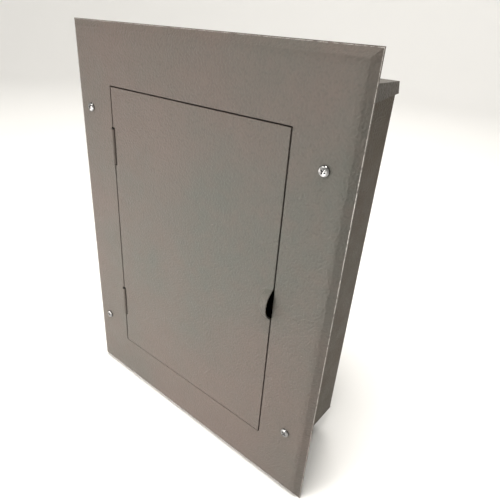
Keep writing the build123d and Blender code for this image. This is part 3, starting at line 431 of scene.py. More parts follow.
def stripes(material, axis, pitch):
    """Even stripes of this pitch across one axis, 0 to 1."""
    tree = material.node_tree
    wave = tree.nodes.new("ShaderNodeTexWave")
    wave.bands_direction = "XYZ"[axis]
    wave.inputs["Scale"].default_value = math.pi / (10 * pitch)
    tree.links.new(object_space(material), wave.inputs["Vector"])
    return remap(material, wave.outputs["Fac"], 0.25, 0.75)


# %% [markdown]
# ## Circuit board
# A board is glass cloth under green lacquer. Copper tracks lie under the lacquer and show
# as paler lines in bundles that change direction, and bare tinned pads stand in a grid.
# Chebyshev cells make the square bundles, and each cell picks its own direction.

# %% Make the board's lacquer
TRACK_PITCH = 1.6 * MM
BUNDLE_SIZE = 17 * MM
PAD_PITCH = 5.08 * MM
PAD_RADIUS = 0.75 * MM


def board_lacquer(name, base, track, tin):
    """Green lacquer over copper tracks, with tinned pads."""
    board = new_finish(name, base, 0.3, Coat_Weight=0.3)
    tree = board.node_tree
    flat = object_space(board, (1, 0, 1))
    bundle = cell_texture(board, flat, BUNDLE_SIZE)
    bundle.distance = "CHEBYCHEV"
    pick = tree.nodes.new("ShaderNodeSeparateColor")
    tree.links.new(bundle.outputs["Color"], pick.inputs["Color"])
    across, along = stripes(board, 0, TRACK_PITCH), stripes(board, 2, TRACK_PITCH)
    chosen = tree.nodes.new("ShaderNodeMix")
    tree.links.new(remap(board, pick.outputs["Red"], 0.49, 0.51), chosen.inputs["Factor"])
    tree.links.new(across, chosen.inputs[2])
    tree.links.new(along, chosen.inputs[3])
    present = remap(board, pick.outputs["Green"], 0.28, 0.3, 0.0, 0.85)
    tracks = product(board, chosen.outputs[0], present)
    pads = cell_texture(board, flat, PAD_PITCH)
    pads.inputs["Randomness"].default_value = 0.0
    rim = PAD_RADIUS / PAD_PITCH
    dots = remap(board, pads.outputs["Distance"], rim, 0.8 * rim)
    bare = product(board, dots, remap(board, noise(board, 30 * MM), 0.52, 0.54))
    tracked = blend_colour(board, tracks, base, track)
    connect(board, blend_colour(board, bare, tracked, tin), "Base Color")
    connect(board, bare, "Metallic")
    relief(board, [(tracks, 0.04 * MM), (bare, 0.06 * MM)])
    return board


# %% [markdown]
# ## One finish for each slot
# The record names a slot for each node. A table ties every slot to its finish, so a
# piece that stands for a node can look its own finish up.

# %% Fill the table of finishes
def striped(finish, axis, pitch, dark, light, depth):
    """Turns a finish into fine stripes of two tones with relief."""
    lines = stripes(finish, axis, pitch)
    connect(finish, blend_colour(finish, lines, dark, light), "Base Color")
    relief(finish, [(lines, depth)])
    return finish


def glass_like(name, colour, roughness, transmission, glow=0.0):
    """Clear or tinted plastic that lets light through, with faint haze patches."""
    finish = new_finish(name, colour, roughness, Transmission_Weight=transmission, IOR=1.49)
    shader_of(finish).inputs["Emission Color"].default_value = (*colour, 1)
    shader_of(finish).inputs["Emission Strength"].default_value = glow
    haze = noise(finish, 8 * MM)
    connect(finish, remap(finish, haze, 0.3, 0.7, roughness, roughness + 0.08), "Roughness")
    return finish


def capacitor_finish():
    """A dark printed sleeve with a bare aluminium end."""
    sleeve = moulded("capacitor_sleeve", (0.012, 0.016, 0.05), 0.3)
    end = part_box("capacitors")[0].y
    bare = remap(sleeve, axis_of(sleeve, 1), end + 0.5 * MM, end + 0.3 * MM)
    tinted = blend_colour(sleeve, bare, (0.012, 0.016, 0.05), (0.7, 0.7, 0.7))
    connect(sleeve, tinted, "Base Color")
    connect(sleeve, bare, "Metallic")
    return sleeve


PANEL_GREY = (0.28, 0.28, 0.262)
finishes = {
    "cabinet_paint": cabinet_coat,
    "hinge_paint": powder_coat("hinge_powder_coat", COAT_WARM, COAT_COOL, COAT_SPECK, 0.1 * MM),
    "panel_paint": powder_coat(
        "panel_powder_coat", PANEL_GREY, (0.26, 0.268, 0.255), (0.34, 0.34, 0.33), 0.12 * MM
    ),
    "zinc_plate": metal("zinc_plate", (0.38, 0.375, 0.35), 0.25, 0.5, 6 * MM),
    "bright_screw": metal("bright_screw", (0.27, 0.27, 0.27), 0.1, 0.3, 1.5 * MM),
    "pin_steel": metal("pin_steel", (0.05, 0.048, 0.045), 0.4, 0.6),
    "terminal_metal": metal("nickel_screw", (0.48, 0.47, 0.43), 0.15, 0.35, 1 * MM),
    "fuse_metal": metal("nickel_clip", (0.50, 0.49, 0.46), 0.15, 0.35, 1 * MM),
    "black_plastic": moulded("black_nylon", (0.018, 0.018, 0.019), 0.42),
    "magnet_ferrite": moulded("ferrite", (0.045, 0.043, 0.042), 0.7, depth=0.05 * MM),
    "terminal_green": moulded("terminal_green", (0.015, 0.22, 0.06), 0.38),
    "relay_case": moulded("relay_blue", (0.015, 0.07, 0.30), 0.28),
    "display_body": moulded("display_black", (0.022, 0.022, 0.024), 0.35),
    "battery_case": moulded("battery_case", (0.035, 0.036, 0.04), 0.45, grain=0.9 * MM),
    "button_grey": moulded("button_grey", (0.24, 0.25, 0.26), 0.4),
    "button_red": moulded("button_red", (0.42, 0.018, 0.015), 0.36),
    "lead_sheath": moulded("red_sheath", (0.42, 0.015, 0.012), 0.35),
    "supply_sheath": moulded("yellow_sheath", (0.40, 0.25, 0.015), 0.35),
    "board_green": board_lacquer(
        "board_lacquer", (0.006, 0.075, 0.026), (0.02, 0.17, 0.055), (0.75, 0.74, 0.70)
    ),
    "fuse_glass": glass_like("fuse_glass", (0.93, 0.95, 0.94), 0.03, 0.9),
    "window_clear": glass_like("clear_window", (0.96, 0.97, 0.97), 0.04, 1.0),
    "lamp_green": glass_like("green_lamp", (0.03, 0.75, 0.12), 0.15, 0.4, glow=1.6),
    "lamp_red": glass_like("red_lamp", (0.62, 0.02, 0.015), 0.15, 0.4),
    "lamp_yellow": glass_like("yellow_lamp", (0.75, 0.45, 0.02), 0.15, 0.4),
    "capacitor_sleeve": capacitor_finish(),
    "core_steel": striped(
        moulded("core_varnish", (0.05, 0.04, 0.035), 0.45), 1, 0.5 * MM,
        (0.02, 0.017, 0.015), (0.16, 0.14, 0.13), 0.06 * MM,
    ),
    "coil_tape": striped(
        moulded("coil_tape", (0.42, 0.27, 0.03), 0.3), 1, 5 * MM,
        (0.32, 0.19, 0.02), (0.46, 0.30, 0.04), 0.10 * MM,
    ),
    "ribbon_sheath": striped(
        moulded("ribbon_sheath", (0.32, 0.33, 0.34), 0.4), 0, 1.27 * MM,
        (0.16, 0.17, 0.18), (0.40, 0.41, 0.42), 0.35 * MM,
    ),
}
slots = {part["node"]: part["material_slot"] for part in frame["record"]["subparts"]}
print("finishes", len(finishes), "slots without one", sorted(set(slots.values()) - set(finishes)))

# %% [markdown]
# Nodes whose CAD shape is right keep it and only change their finish. This gives all of
# them one; those that get a finer shape below are then hidden behind it.

# %% Finish every CAD node
for node, holder in frame["nodes"].items():
    for place in holder.material_slots:
        place.material = finishes[slots[node]]

# %% [markdown]
# ## Softening folded sheet
# CAD edges are razor sharp, and real folded and painted steel isn't: each fold has a
# small radius that catches the light. A copy of a CAD node is merged back into whole
# faces, its edges are bevelled, and the copy stands in for the node. The trim's rim is
# bent by only a third of a right angle and on a large radius, so that fold is rounded
# first and by itself. A Subdivision Surface would round everything alike, so bevels it is.

# %% Helpers that soften a node
SAME_PLACE = 0.001 * MM
FLAT_ANGLE = math.radians(0.3)
BEVEL_ANGLE = math.radians(41)
SHARP_ANGLE = math.radians(38)
bodies = frame["record"]["behaviour"]["bodies"]


def to_mesh(shape, name):
    """Turns an edited shape into a mesh and frees it."""
    mesh = bpy.data.meshes.new(name)
    shape.to_mesh(mesh)
    shape.free()
    return mesh


def body_of(node):
    """The CAD body that a node belongs to."""
    return next(body for body, nodes in bodies.items() if node in nodes)


def stand_for(piece, node):
    """Lets a piece stand for a CAD node: it joins the node's body and the node is hidden."""
    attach(piece, body_of(node))
    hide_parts(node)
    return piece


def add_to(piece, body):
    """Puts a piece that no CAD node has on a body."""
    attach(piece, body)
    return piece


def settle(holder, name):
    """Reads an object with its modifiers applied into a new object."""
    graph = bpy.context.evaluated_depsgraph_get()
    mesh = bpy.data.meshes.new_from_object(holder.evaluated_get(graph))
    bpy.data.objects.remove(holder)
    return link(name, mesh)


def merged_copy(node):
    """A CAD node's mesh with its loose triangles joined into whole faces."""
    shape = bmesh.new()
    shape.from_mesh(frame["nodes"][node].data)
    bmesh.ops.remove_doubles(shape, verts=shape.verts, dist=SAME_PLACE)
    bmesh.ops.dissolve_limit(
        shape, angle_limit=FLAT_ANGLE, verts=shape.verts, edges=shape.edges
    )
    return shape


def round_folds(shape, angles, reach):
    """Rounds the edges whose faces turn by an angle between these two, in degrees."""
    low, high = angles
    folds = [
        edge for edge in shape.edges
        if len(edge.link_faces) == 2
        and math.radians(low) < edge.calc_face_angle(0) < math.radians(high)
    ]
    bmesh.ops.bevel(
        shape, geom=folds, offset=reach, offset_type="OFFSET", segments=5,
        profile=0.5, affect="EDGES", clamp_overlap=False,
    )


def soften(node, radius, name, fold=None):
    """A rounded copy of a CAD node in that node's finish."""
    shape = merged_copy(node)
    if fold:
        round_folds(shape, *fold)
    mesh = to_mesh(shape, name)
    mesh.shade_smooth()
    mesh.materials.append(finishes[slots[node]])
    holder = link(name + "_rough", mesh)
    if radius:
        bevel = holder.modifiers.new("edge", "BEVEL")
        bevel.width = radius
        bevel.segments = 2
        bevel.limit_method = "ANGLE"
        bevel.angle_limit = BEVEL_ANGLE
        bevel.use_clamp_overlap = False
        holder = settle(holder, name + "_edged")
    holder.data.set_sharp_from_angle(angle=SHARP_ANGLE)
    weighted = holder.modifiers.new("flat_faces", "WEIGHTED_NORMAL")
    weighted.weight = 100
    weighted.keep_sharp = True
    return stand_for(settle(holder, name), node)


# %% [markdown]
# ## The cabinet's steel
# The trim frame, the door and the box are what one sees with the door shut. The trim's
# rim bends back to the wall in a soft fold that reaches three millimetres to either side
# of its edge. Door and box have tight folds.

# %% Soften the cabinet
TIGHT_FOLD = 0.35 * MM
LEAF_EDGE = 0.2 * MM
RIM_FOLD = 3.2 * MM
RIM_ANGLES = (20, 40)
trim_skin = soften("trim_frame", TIGHT_FOLD, "trim_frame_skin", fold=(RIM_ANGLES, RIM_FOLD))
door_skin = soften("door_panel", TIGHT_FOLD, "door_skin")
box_skin = soften("back_box", TIGHT_FOLD, "back_box_skin")
for piece in (trim_skin, door_skin, box_skin):
    print(piece.name, len(piece.data.polygons), "faces")
for node, radius in (
    ("top_end_plate", TIGHT_FOLD), ("bottom_end_plate", TIGHT_FOLD), ("knockout_discs", 0),
    ("door_stiffener", TIGHT_FOLD), ("catch_bracket", TIGHT_FOLD), ("chassis_plate", TIGHT_FOLD),
    ("hinge_trim_leaves", LEAF_EDGE), ("hinge_door_leaves", LEAF_EDGE), ("hinge_pins", LEAF_EDGE),
):
    soften(node, radius, node + "_soft")

# %% [markdown]
# ## The box's painted shade
# The box goes into the wall, and the shade on its side is painted into its coat: the same
# recipe with darker, browner colours, put on the box's own sheets. The top end plate keeps the trim's
# lighter coat.

# %% Give the box its painted shade
for name in ("back_box_skin", "bottom_end_plate_soft", "knockout_discs_soft"):
    bpy.data.objects[name].data.materials[0] = box_painted_shade_coat
print("box in", box_painted_shade_coat.name)

# %% [markdown]
# ## The rim's cut edge
# A sheared sheet shows its thickness at the edge, and the coat is thin and chipped there,
# so steel shows through. The edge is a slim square band round the rim's outline, and its
# finish swaps between steel and coat along the way. The steel spots are pale: partly bare
# steel and partly a painted highlight of the light that catches the rim's edge.

# %% Make the cut edge
CUT_EDGE = 0.4 * MM
RIM_DEPTH = 5.5 * MM


def square_ring(low, high, band, back):
    """A closed ring of square section round a box's outline, with its back at this Y."""
    mesh = bpy.data.meshes.new("rim_cut_edge")
    outline = [
        ((low if right < 0 else high).x - right * inset, (low if up < 0 else high).z - up * inset)
        for inset in (0, band) for right, up in ((-1, -1), (1, -1), (1, 1), (-1, 1))
    ]
    corners = [(x, back - depth, z) for depth in (0, band) for x, z in outline]
    faces = []
    for n in range(4):
        m = (n + 1) % 4
        faces += [(n, m, m + 4, n + 4), (n + 8, n + 12, m + 12, m + 8)]
        faces += [(n, n + 8, m + 8, m), (n + 4, m + 4, m + 12, n + 12)]
    mesh.from_pydata(corners, [], faces)
    shape = bmesh.new()
    shape.from_mesh(mesh)
    bmesh.ops.recalc_face_normals(shape, faces=shape.faces)
    shape.to_mesh(mesh)
    shape.free()
    return mesh


def chipped_edge_and_highlight():
    """Steel that shows where the coat has chipped off the sheet's edge, pale as a painted highlight.
    """
    edge = new_finish("chipped_edge_and_highlight", (0.6, 0.58, 0.54), 0.4)
    bare_steel_and_highlight = remap(edge, noise(edge, 5 * MM, detail=4.0, rough=0.7), 0.36, 0.52)
    # Painted highlight: the pale steel colour stands partly for bare metal and partly for light caught
    # by the edge.
    connect(edge, blend_colour(edge, bare_steel_and_highlight, COAT_WARM, (0.34, 0.32, 0.30)), "Base Color")
    connect(edge, remap(edge, bare_steel_and_highlight, 0, 1, 0.0, 0.2), "Metallic")
    relief(edge, [(bare_steel_and_highlight, 0.05 * MM)])
    return edge


cut_edge = link("rim_cut_edge", square_ring(trim_low, trim_high, CUT_EDGE, front_y + RIM_DEPTH))
cut_edge.data.materials.append(chipped_edge_and_highlight())
add_to(cut_edge, body_of("trim_frame"))

# %% [markdown]
# ## Geometry Nodes for rows and grids
# Screws and pins repeat. One node tree sets a shape out in rows and columns: a line
# of points is copied along a second line, the shape stands on each point, and the
# copies are made real and given their finish. The shape is drawn once, in Python.

# %% Build the tree for rows and columns
def new_tree(name, **inputs):
    """An empty tree with these named inputs, and its input node."""
    tree = bpy.data.node_groups.new(name, "GeometryNodeTree")
    for label, kind in inputs.items():
        tree.interface.new_socket(
            name=label.replace("_", " "), in_out="INPUT", socket_type="NodeSocket" + kind
        )
    tree.interface.new_socket(name="Geometry", in_out="OUTPUT", socket_type="NodeSocketGeometry")
    return tree, tree.nodes.new("NodeGroupInput")


def stand_and_paint(tree, given, points):
    """Stands the shape on the points, makes the copies real and gives them their finish."""
    new, tie = tree.nodes.new, tree.links.new
    shape = new("GeometryNodeObjectInfo")
    tie(given.outputs["Shape"], shape.inputs["Object"])
    stand, real = new("GeometryNodeInstanceOnPoints"), new("GeometryNodeRealizeInstances")
    tie(points, stand.inputs["Points"])
    tie(shape.outputs["Geometry"], stand.inputs["Instance"])
    tie(stand.outputs[0], real.inputs[0])
    painted, out = new("GeometryNodeSetMaterial"), new("NodeGroupOutput")
    tie(real.outputs[0], painted.inputs["Geometry"])
    tie(given.outputs["Finish"], painted.inputs["Material"])
    tie(painted.outputs[0], out.inputs["Geometry"])
    return stand


def rows_tree():
    """Sets a shape out in rows and columns."""
    tree, given = new_tree(
        "rows_and_columns", Shape="Object", Finish="Material", Start="Vector", Step="Vector",
        Count="Int", Row_Step="Vector", Rows="Int", Turn="Vector", Size="Float",
    )
    new, tie = tree.nodes.new, tree.links.new
    line, column = new("GeometryNodeMeshLine"), new("GeometryNodeMeshLine")
    tie(given.outputs["Count"], line.inputs["Count"])
    tie(given.outputs["Start"], line.inputs["Start Location"])
    tie(given.outputs["Step"], line.inputs["Offset"])
    tie(given.outputs["Rows"], column.inputs["Count"])
    tie(given.outputs["Row Step"], column.inputs["Offset"])
    grid, flat = new("GeometryNodeInstanceOnPoints"), new("GeometryNodeRealizeInstances")
    tie(line.outputs[0], grid.inputs["Points"])
    tie(column.outputs[0], grid.inputs["Instance"])
    tie(grid.outputs[0], flat.inputs[0])
    stand = stand_and_paint(tree, given, flat.outputs[0])
    tie(given.outputs["Turn"], stand.inputs["Rotation"])
    tie(given.outputs["Size"], stand.inputs["Scale"])
    return tree


ROWS = rows_tree()


def grow(name, tree, values):
    """Runs a tree with these named values and returns the result as a plain object."""
    holder = link(name + "_seed", bpy.data.meshes.new(name + "_seed"))
    modifier = holder.modifiers.new("grow", "NODES")
    modifier.node_group = tree
    for entry in tree.interface.items_tree:
        if entry.in_out == "INPUT" and entry.name in values:
            modifier[entry.identifier] = values[entry.name]
    return settle(holder, name)


def set_out(name, shape, finish, start, step=(0, 0, 0), count=1, row=(0, 0, 0), rows=1,
            turn=(0, 0, 0), size=1.0):
    """Sets a shape out in rows and columns with the tree."""
    return grow(name, ROWS, {
        "Shape": shape, "Finish": finish, "Start": start, "Step": step, "Count": count,
        "Row Step": row, "Rows": rows, "Turn": turn, "Size": size,
    })


# %% [markdown]
# ## Screws
# The four trim screws are pan heads with a cross recess, plated bright. The profile is
# spun round the screw's axis, and the recess is cut with two crossed wedges. A thread of
# rings is enough where it's hidden behind the sheet.

# %% Draw a pan-head screw
TRIM_SHANK = 2.35 * MM
TRIM_SHANK_LENGTH = 6 * MM
TRIM_HEAD = 4.8 * MM
TRIM_HEAD_HEIGHT = 2.9 * MM
TRIM_SCREW_TURN = math.radians(28)
THREAD_RINGS = 8
HEAD_STEPS = 8
HEAD_SHARP = math.radians(35)


def spin(name, profile, steps=40):
    """Spins (radius, height) points round the -Y axis into a closed shape."""
    shape = bmesh.new()
    rings = []
    for radius, height in profile:
        if radius == 0:
            rings.append([shape.verts.new((0, -height, 0))])
            continue
        turns = [2 * math.pi * n / steps for n in range(steps)]
        rings.append([
            shape.verts.new((radius * math.cos(t), -height, radius * math.sin(t))) for t in turns
        ])
    for below, above in zip(rings, rings[1:]):
        for n in range(steps):
            m = (n + 1) % steps
            loop = [below[n % len(below)], below[m % len(below)],
                    above[m % len(above)], above[n % len(above)]]
            shape.faces.new(list(dict.fromkeys(loop)))
    bmesh.ops.recalc_face_normals(shape, faces=shape.faces)
    mesh = to_mesh(shape, name)
    mesh.shade_smooth()
    return mesh


def wedge(shape, half_length, half_width, top, depth):
    """A tapered bar that cuts one arm of a cross recess."""
    corners = []
    for height, share in ((top, 1.0), (top - depth, 0.45)):
        for x, z in ((-1, -1), (1, -1), (1, 1), (-1, 1)):
            place = (x * half_length * share, -height, z * half_width * (0.6 + 0.4 * share))
            corners.append(shape.verts.new(place))
    low, high = corners[:4], corners[4:]
    shape.faces.new(low)
    shape.faces.new(high[::-1])
    for n in range(4):
        m = (n + 1) % 4
        shape.faces.new((low[m], low[n], high[n], high[m]))
    return corners


def pan_head(name, shank, length, head, height):
    """A pan-head screw that points at +Y, with its head on the plane Y = 0."""
    pitch = length / THREAD_RINGS
    profile = [(0, -length), (0.8 * shank, -length)]
    for n in range(THREAD_RINGS):
        base = -length + (n + 0.5) * pitch
        profile += [(shank, base), (0.86 * shank, base + 0.5 * pitch)]
    profile += [(shank, 0), (head, 0)]
    for n in range(HEAD_STEPS + 1):
        angle = math.radians(90 * n / HEAD_STEPS)
        across = head * (0.62 + 0.38 * math.cos(angle))
        profile.append((across, height * (0.25 + 0.6 * math.sin(angle))))
    profile += [(0.3 * head, 0.96 * height), (0, height)]
    body = link(name, spin(name, profile))
    for turned in (False, True):
        shape = bmesh.new()
        corners = wedge(shape, 0.58 * head, 0.13 * head, 1.05 * height, 0.75 * height)
        if turned:
            bmesh.ops.rotate(shape, verts=corners, matrix=Matrix.Rotation(math.pi / 2, 3, "Y"))
        bmesh.ops.recalc_face_normals(shape, faces=shape.faces)
        arm = link("recess_arm", to_mesh(shape, "recess_arm"))
        cut = body.modifiers.new("recess", "BOOLEAN")
        cut.operation = "DIFFERENCE"
        cut.solver = "EXACT"
        cut.object = arm
        body = settle(body, name)
        bpy.data.objects.remove(arm)
    body.data.set_sharp_from_angle(angle=HEAD_SHARP)
    return body


def corner_screws(name, node, head, seat, finish, turn):
    """Four screws in the corners of a node's box, with their seat at this Y."""
    low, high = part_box(node)
    return set_out(
        name, trim_screw, finish, Vector((low.x + head, seat, low.z + head)),
        Vector((high.x - low.x - 2 * head, 0, 0)), 2,
        Vector((0, 0, high.z - low.z - 2 * head)), 2, turn=(0, turn, 0), size=head / TRIM_HEAD,
    )


trim_screw = pan_head(
    "trim_screw_shape", TRIM_SHANK, TRIM_SHANK_LENGTH, TRIM_HEAD, TRIM_HEAD_HEIGHT
)
screws = corner_screws(
    "trim_screw_set", "trim_screws", TRIM_HEAD, front_y, finishes["bright_screw"], TRIM_SCREW_TURN
)
stand_for(screws, "trim_screws")
print("trim screws", len(screws.data.polygons), "faces")

# %% [markdown]
# The small screws of the boards and the dress panel are the same head at a smaller size,
# so the tree sets out the same shape again.

# %% Set out the small screws
SMALL_HEAD = 2.9 * MM
SMALL_HEAD_HEIGHT = 1.8 * MM
SMALL_SCREW_TURN = math.radians(12)
for node in ("board_screws", "dress_screws"):
    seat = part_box(node)[0].y + SMALL_HEAD_HEIGHT
    small = corner_screws(
        node + "_set", node, SMALL_HEAD, seat, finishes[slots[node]], SMALL_SCREW_TURN
    )
    stand_for(small, node)
bpy.data.objects.remove(trim_screw)

# %% [markdown]
# ## Door-side fittings and the controls
# Moulded and machined pieces have small radii as well. They keep the CAD's proportions,
# and the softened copies catch a line of light along each edge.

# %% Soften the fittings and controls
CASE_EDGE = 0.3 * MM
PLATE_EDGE = 0.2 * MM
CONTROL_EDGE = 0.15 * MM
FINE_EDGE = 0.12 * MM
STUD_EDGE = 0.1 * MM
COIL_EDGE = 0.5 * MM
for node, radius in (
    ("dress_panel", CASE_EDGE), ("catch_housing", CASE_EDGE), ("catch_strike", PLATE_EDGE),
    ("silence_button", CONTROL_EDGE), ("acknowledge_button", CONTROL_EDGE),
    ("drill_button", CONTROL_EDGE), ("reset_button", CONTROL_EDGE),
    ("key_switch_body", CONTROL_EDGE), ("key_barrel", CONTROL_EDGE), ("relays", CASE_EDGE),
    ("terminal_blocks", FINE_EDGE), ("batteries", CASE_EDGE), ("battery_strap", PLATE_EDGE),
    ("battery_tray", PLATE_EDGE), ("transformer_frame", PLATE_EDGE),
    ("transformer_coil", COIL_EDGE), ("transformer_core", PLATE_EDGE), ("capacitors", 0),
    ("cable_bushing", 0), ("power_lamp", 0), ("alarm_lamp", 0), ("trouble_lamps", 0),
    ("logic_chips", CONTROL_EDGE), ("display_module", PLATE_EDGE), ("earth_stud", STUD_EDGE),
    ("sounder", PLATE_EDGE),
):
    soften(node, radius, node + "_soft")

# %% [markdown]
# ## Leads
# The battery and supply leads are stranded wires in a soft sheath, cut to length and held
# at both ends. Each follows a smooth spline through the same route as its CAD tube. The
# crimped sleeves that push onto the battery's tabs are small rounded blocks.

# %% Lay the leads
def tube(name, route, radius, finish):
    """A round sheath along a smooth spline with these control points, in millimetres."""
    curve = bpy.data.curves.new(name, "CURVE")
    curve.dimensions = "3D"
    spline = curve.splines.new("NURBS")
    spline.points.add(len(route) - 1)
    for point, place in zip(spline.points, route):
        point.co = (*(MM * value for value in place), 1)
    spline.order_u = 3
    spline.use_endpoint_u = True
    spline.resolution_u = 10
    curve.bevel_depth = radius
    curve.bevel_resolution = 4
    curve.use_fill_caps = True
    piece = settle(link(name + "_curve", curve), name)
    piece.data.shade_smooth()
    piece.data.materials.clear()
    piece.data.materials.append(finish)
    return piece


def rounded_block(name, low, high, radius, finish):
    """A block between two corners with rounded edges."""
    shape = bmesh.new()
    bmesh.ops.create_cube(shape, size=1)
    centre, size = (Vector(low) + Vector(high)) / 2, Vector(high) - Vector(low)
    for corner in shape.verts:
        corner.co = centre + Vector(c * s for c, s in zip(corner.co, size))
    bmesh.ops.bevel(
        shape, geom=shape.edges, offset=radius, segments=3, profile=0.5, affect="EDGES"
    )
    mesh = to_mesh(shape, name)
    mesh.shade_smooth()
    mesh.set_sharp_from_angle(angle=BLOCK_SHARP)
    mesh.materials.append(finish)
    return link(name, mesh)


LEAD_RADIUS = 1.3 * MM
TAB_LEVEL = -62.6
TAB_HEIGHT = -80.1
SLEEVE_HALF = (4.25, 2.0)
SLEEVE_LENGTH = 13
SLEEVE_ROUNDING = 1.2 * MM
BLOCK_SHARP = math.radians(50)
red_sheath = finishes["lead_sheath"]
black_sheath = moulded("black_sheath", (0.015, 0.015, 0.016), 0.35)
blue_sheath = moulded("blue_sheath", (0.012, 0.04, 0.26), 0.35)
battery_tabs = ((-122, black_sheath), (-56, blue_sheath), (-30, blue_sheath), (36, red_sheath))
battery_routes = {
    "negative_lead": (black_sheath, (
        (-122, TAB_LEVEL, TAB_HEIGHT), (-121, -61, -66), (-104, -59, -55), (-76, -55, -52),
        (-50, -49, -56), (-28, -38, -56), (-15.5, -30.6, -46), (-15.5, -30.6, -27.25),
    )),
    "positive_lead": (red_sheath, (
        (36, TAB_LEVEL, TAB_HEIGHT), (36, -61, -66), (26, -57, -56), (10, -48, -53),
        (-3, -37, -50), (-6.5, -30.6, -41), (-6.5, -30.6, -27.25),
    )),
    "jumper_lead": (blue_sheath, (
        (-56, TAB_LEVEL, TAB_HEIGHT), (-56, -61.4, -70), (-43, -61.4, -62), (-30, -61.4, -70),
        (-30, TAB_LEVEL, TAB_HEIGHT),
    )),
}
supply_routes = {
    "supply_lead_one": (
        (90, -43, -133.3), (90, -43, -114), (78, -42, -90), (52, -38, -69), (26, -33, -59),
        (15.5, -30.6, -46), (15.5, -30.6, -27.25),
    ),
    "supply_lead_two": (
        (104, -43, -133.3), (104, -43, -112), (90, -41, -84), (62, -37, -62), (36, -33, -53),
        (24.5, -30.6, -42), (24.5, -30.6, -27.25),
    ),
}
for name, (finish, route) in battery_routes.items():
    stand_for(tube(name, route, LEAD_RADIUS, finish), "battery_leads")
for name, route in supply_routes.items():
    stand_for(tube(name, route, LEAD_RADIUS, finishes["supply_sheath"]), "transformer_leads")
wide, deep = SLEEVE_HALF
for count, (tab_x, finish) in enumerate(battery_tabs):
    sleeve = rounded_block(
        f"tab_sleeve_{count + 1}",
        (MM * (tab_x - wide), MM * (TAB_LEVEL - deep), MM * (TAB_HEIGHT - SLEEVE_LENGTH)),
        (MM * (tab_x + wide), MM * (TAB_LEVEL + deep), MM * TAB_HEIGHT), SLEEVE_ROUNDING, finish,
    )
    add_to(sleeve, "cabinet")

# %% [markdown]
# ## Small parts on the board
# A board carries dozens of parts the size of rice grains. A second tree scatters them on
# patches between the large parts: points no closer than a given spacing, each with a
# part that's turned by a quarter turn or not at all. The seed is fixed.

# %% Build the scattering tree
def scatter_tree():
    """Scatters a shape on a patch at quarter turns."""
    tree, given = new_tree(
        "scattered_parts", Shape="Object", Patch="Object", Finish="Material",
        Spacing="Float", Density="Float", Seed="Int",
    )
    new, tie = tree.nodes.new, tree.links.new
    patch = new("GeometryNodeObjectInfo")
    tie(given.outputs["Patch"], patch.inputs["Object"])
    points = new("GeometryNodeDistributePointsOnFaces")
    points.distribute_method = "POISSON"
    tie(patch.outputs["Geometry"], points.inputs["Mesh"])
    tie(given.outputs["Spacing"], points.inputs["Distance Min"])
    tie(given.outputs["Density"], points.inputs["Density Max"])
    tie(given.outputs["Seed"], points.inputs["Seed"])
    quarter = new("FunctionNodeRandomValue")
    quarter.data_type = "INT"
    # Inputs 4 and 5 are the least and the greatest whole number.
    quarter.inputs[4].default_value = 0
    quarter.inputs[5].default_value = 1
    tie(given.outputs["Seed"], quarter.inputs["Seed"])
    angle = new("ShaderNodeMath")
    angle.operation = "MULTIPLY"
    angle.inputs[1].default_value = math.pi / 2
    tie(quarter.outputs[2], angle.inputs[0])
    turn = new("ShaderNodeCombineXYZ")
    tie(angle.outputs[0], turn.inputs["Y"])
    stand = stand_and_paint(tree, given, points.outputs["Points"])
    tie(turn.outputs[0], stand.inputs["Rotation"])
    return tree


SCATTER = scatter_tree()
board_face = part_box("main_board")[0].y
FREE_AREAS = (
    (-80, -20, 74, 140), (-50, 10, 10, 42), (24, 80, 12, 44), (62, 80, 52, 90), (-12, 26, 120, 140),
)


def patch_of(areas, level):
    """Flat rectangles (x0, x1, z0, z1 in millimetres) that parts may stand on."""
    corners, faces = [], []
    for x0, x1, z0, z1 in areas:
        start = len(corners)
        corners += [(MM * x, level, MM * z) for x, z in ((x0, z0), (x1, z0), (x1, z1), (x0, z1))]
        faces.append((start, start + 1, start + 2, start + 3))
    mesh = bpy.data.meshes.new("patch")
    mesh.from_pydata(corners, [], faces)
    return link("patch", mesh)


patch = patch_of(FREE_AREAS, board_face)
print("patch area cm2", round(1e4 * sum(face.area for face in patch.data.polygons), 1))

# %% Scatter resistors and small capacitors
RESISTOR_HALF = (1.6 * MM, 0.8 * MM)
RESISTOR_RISE = 0.7 * MM
half_x, half_z = RESISTOR_HALF
resistor = rounded_block(
    "resistor_shape", (-half_x, -RESISTOR_RISE, -half_z), (half_x, 0, half_z),
    FINE_EDGE, finishes["black_plastic"],
)
can = link("can_shape", spin("can_shape", (
    (0, 0), (2.4 * MM, 0), (2.4 * MM, 4.6 * MM), (2.0 * MM, 5.0 * MM), (0, 5.0 * MM),
), 24))
tan = moulded("ceramic_tan", (0.30, 0.19, 0.10), 0.4)
for name, shape, finish, spacing, density, seed, slot in (
    ("board_resistors", resistor, finishes["black_plastic"], 5 * MM, 20000, 3, "black_plastic"),
    ("board_ceramics", resistor, tan, 8 * MM, 6000, 8, "black_plastic"),
    ("board_cans", can, finishes["terminal_metal"], 17 * MM, 1800, 5, "terminal_metal"),
):
    parts = grow(name, SCATTER, {
        "Shape": shape, "Patch": patch, "Finish": finish, "Spacing": spacing,
        "Density": float(density), "Seed": seed,
    })
    add_to(parts, "cabinet")
    print(name, len(parts.data.polygons), "faces")
for helper in (resistor, can, patch):
    bpy.data.objects.remove(helper)

# %% [markdown]
# ## Pins of the square chips
# Each chip stands on rows of gull-wing pins along all four sides. One pin is drawn once
# and the first tree sets out each row.

# %% Set out the chip pins
PIN_HALF = 0.2 * MM
PIN_PITCH = 1.27 * MM
PINS = 16
CHIP_HALF = 12 * MM
CHIPS = ((0, 100), (34, 62), (44, 104))


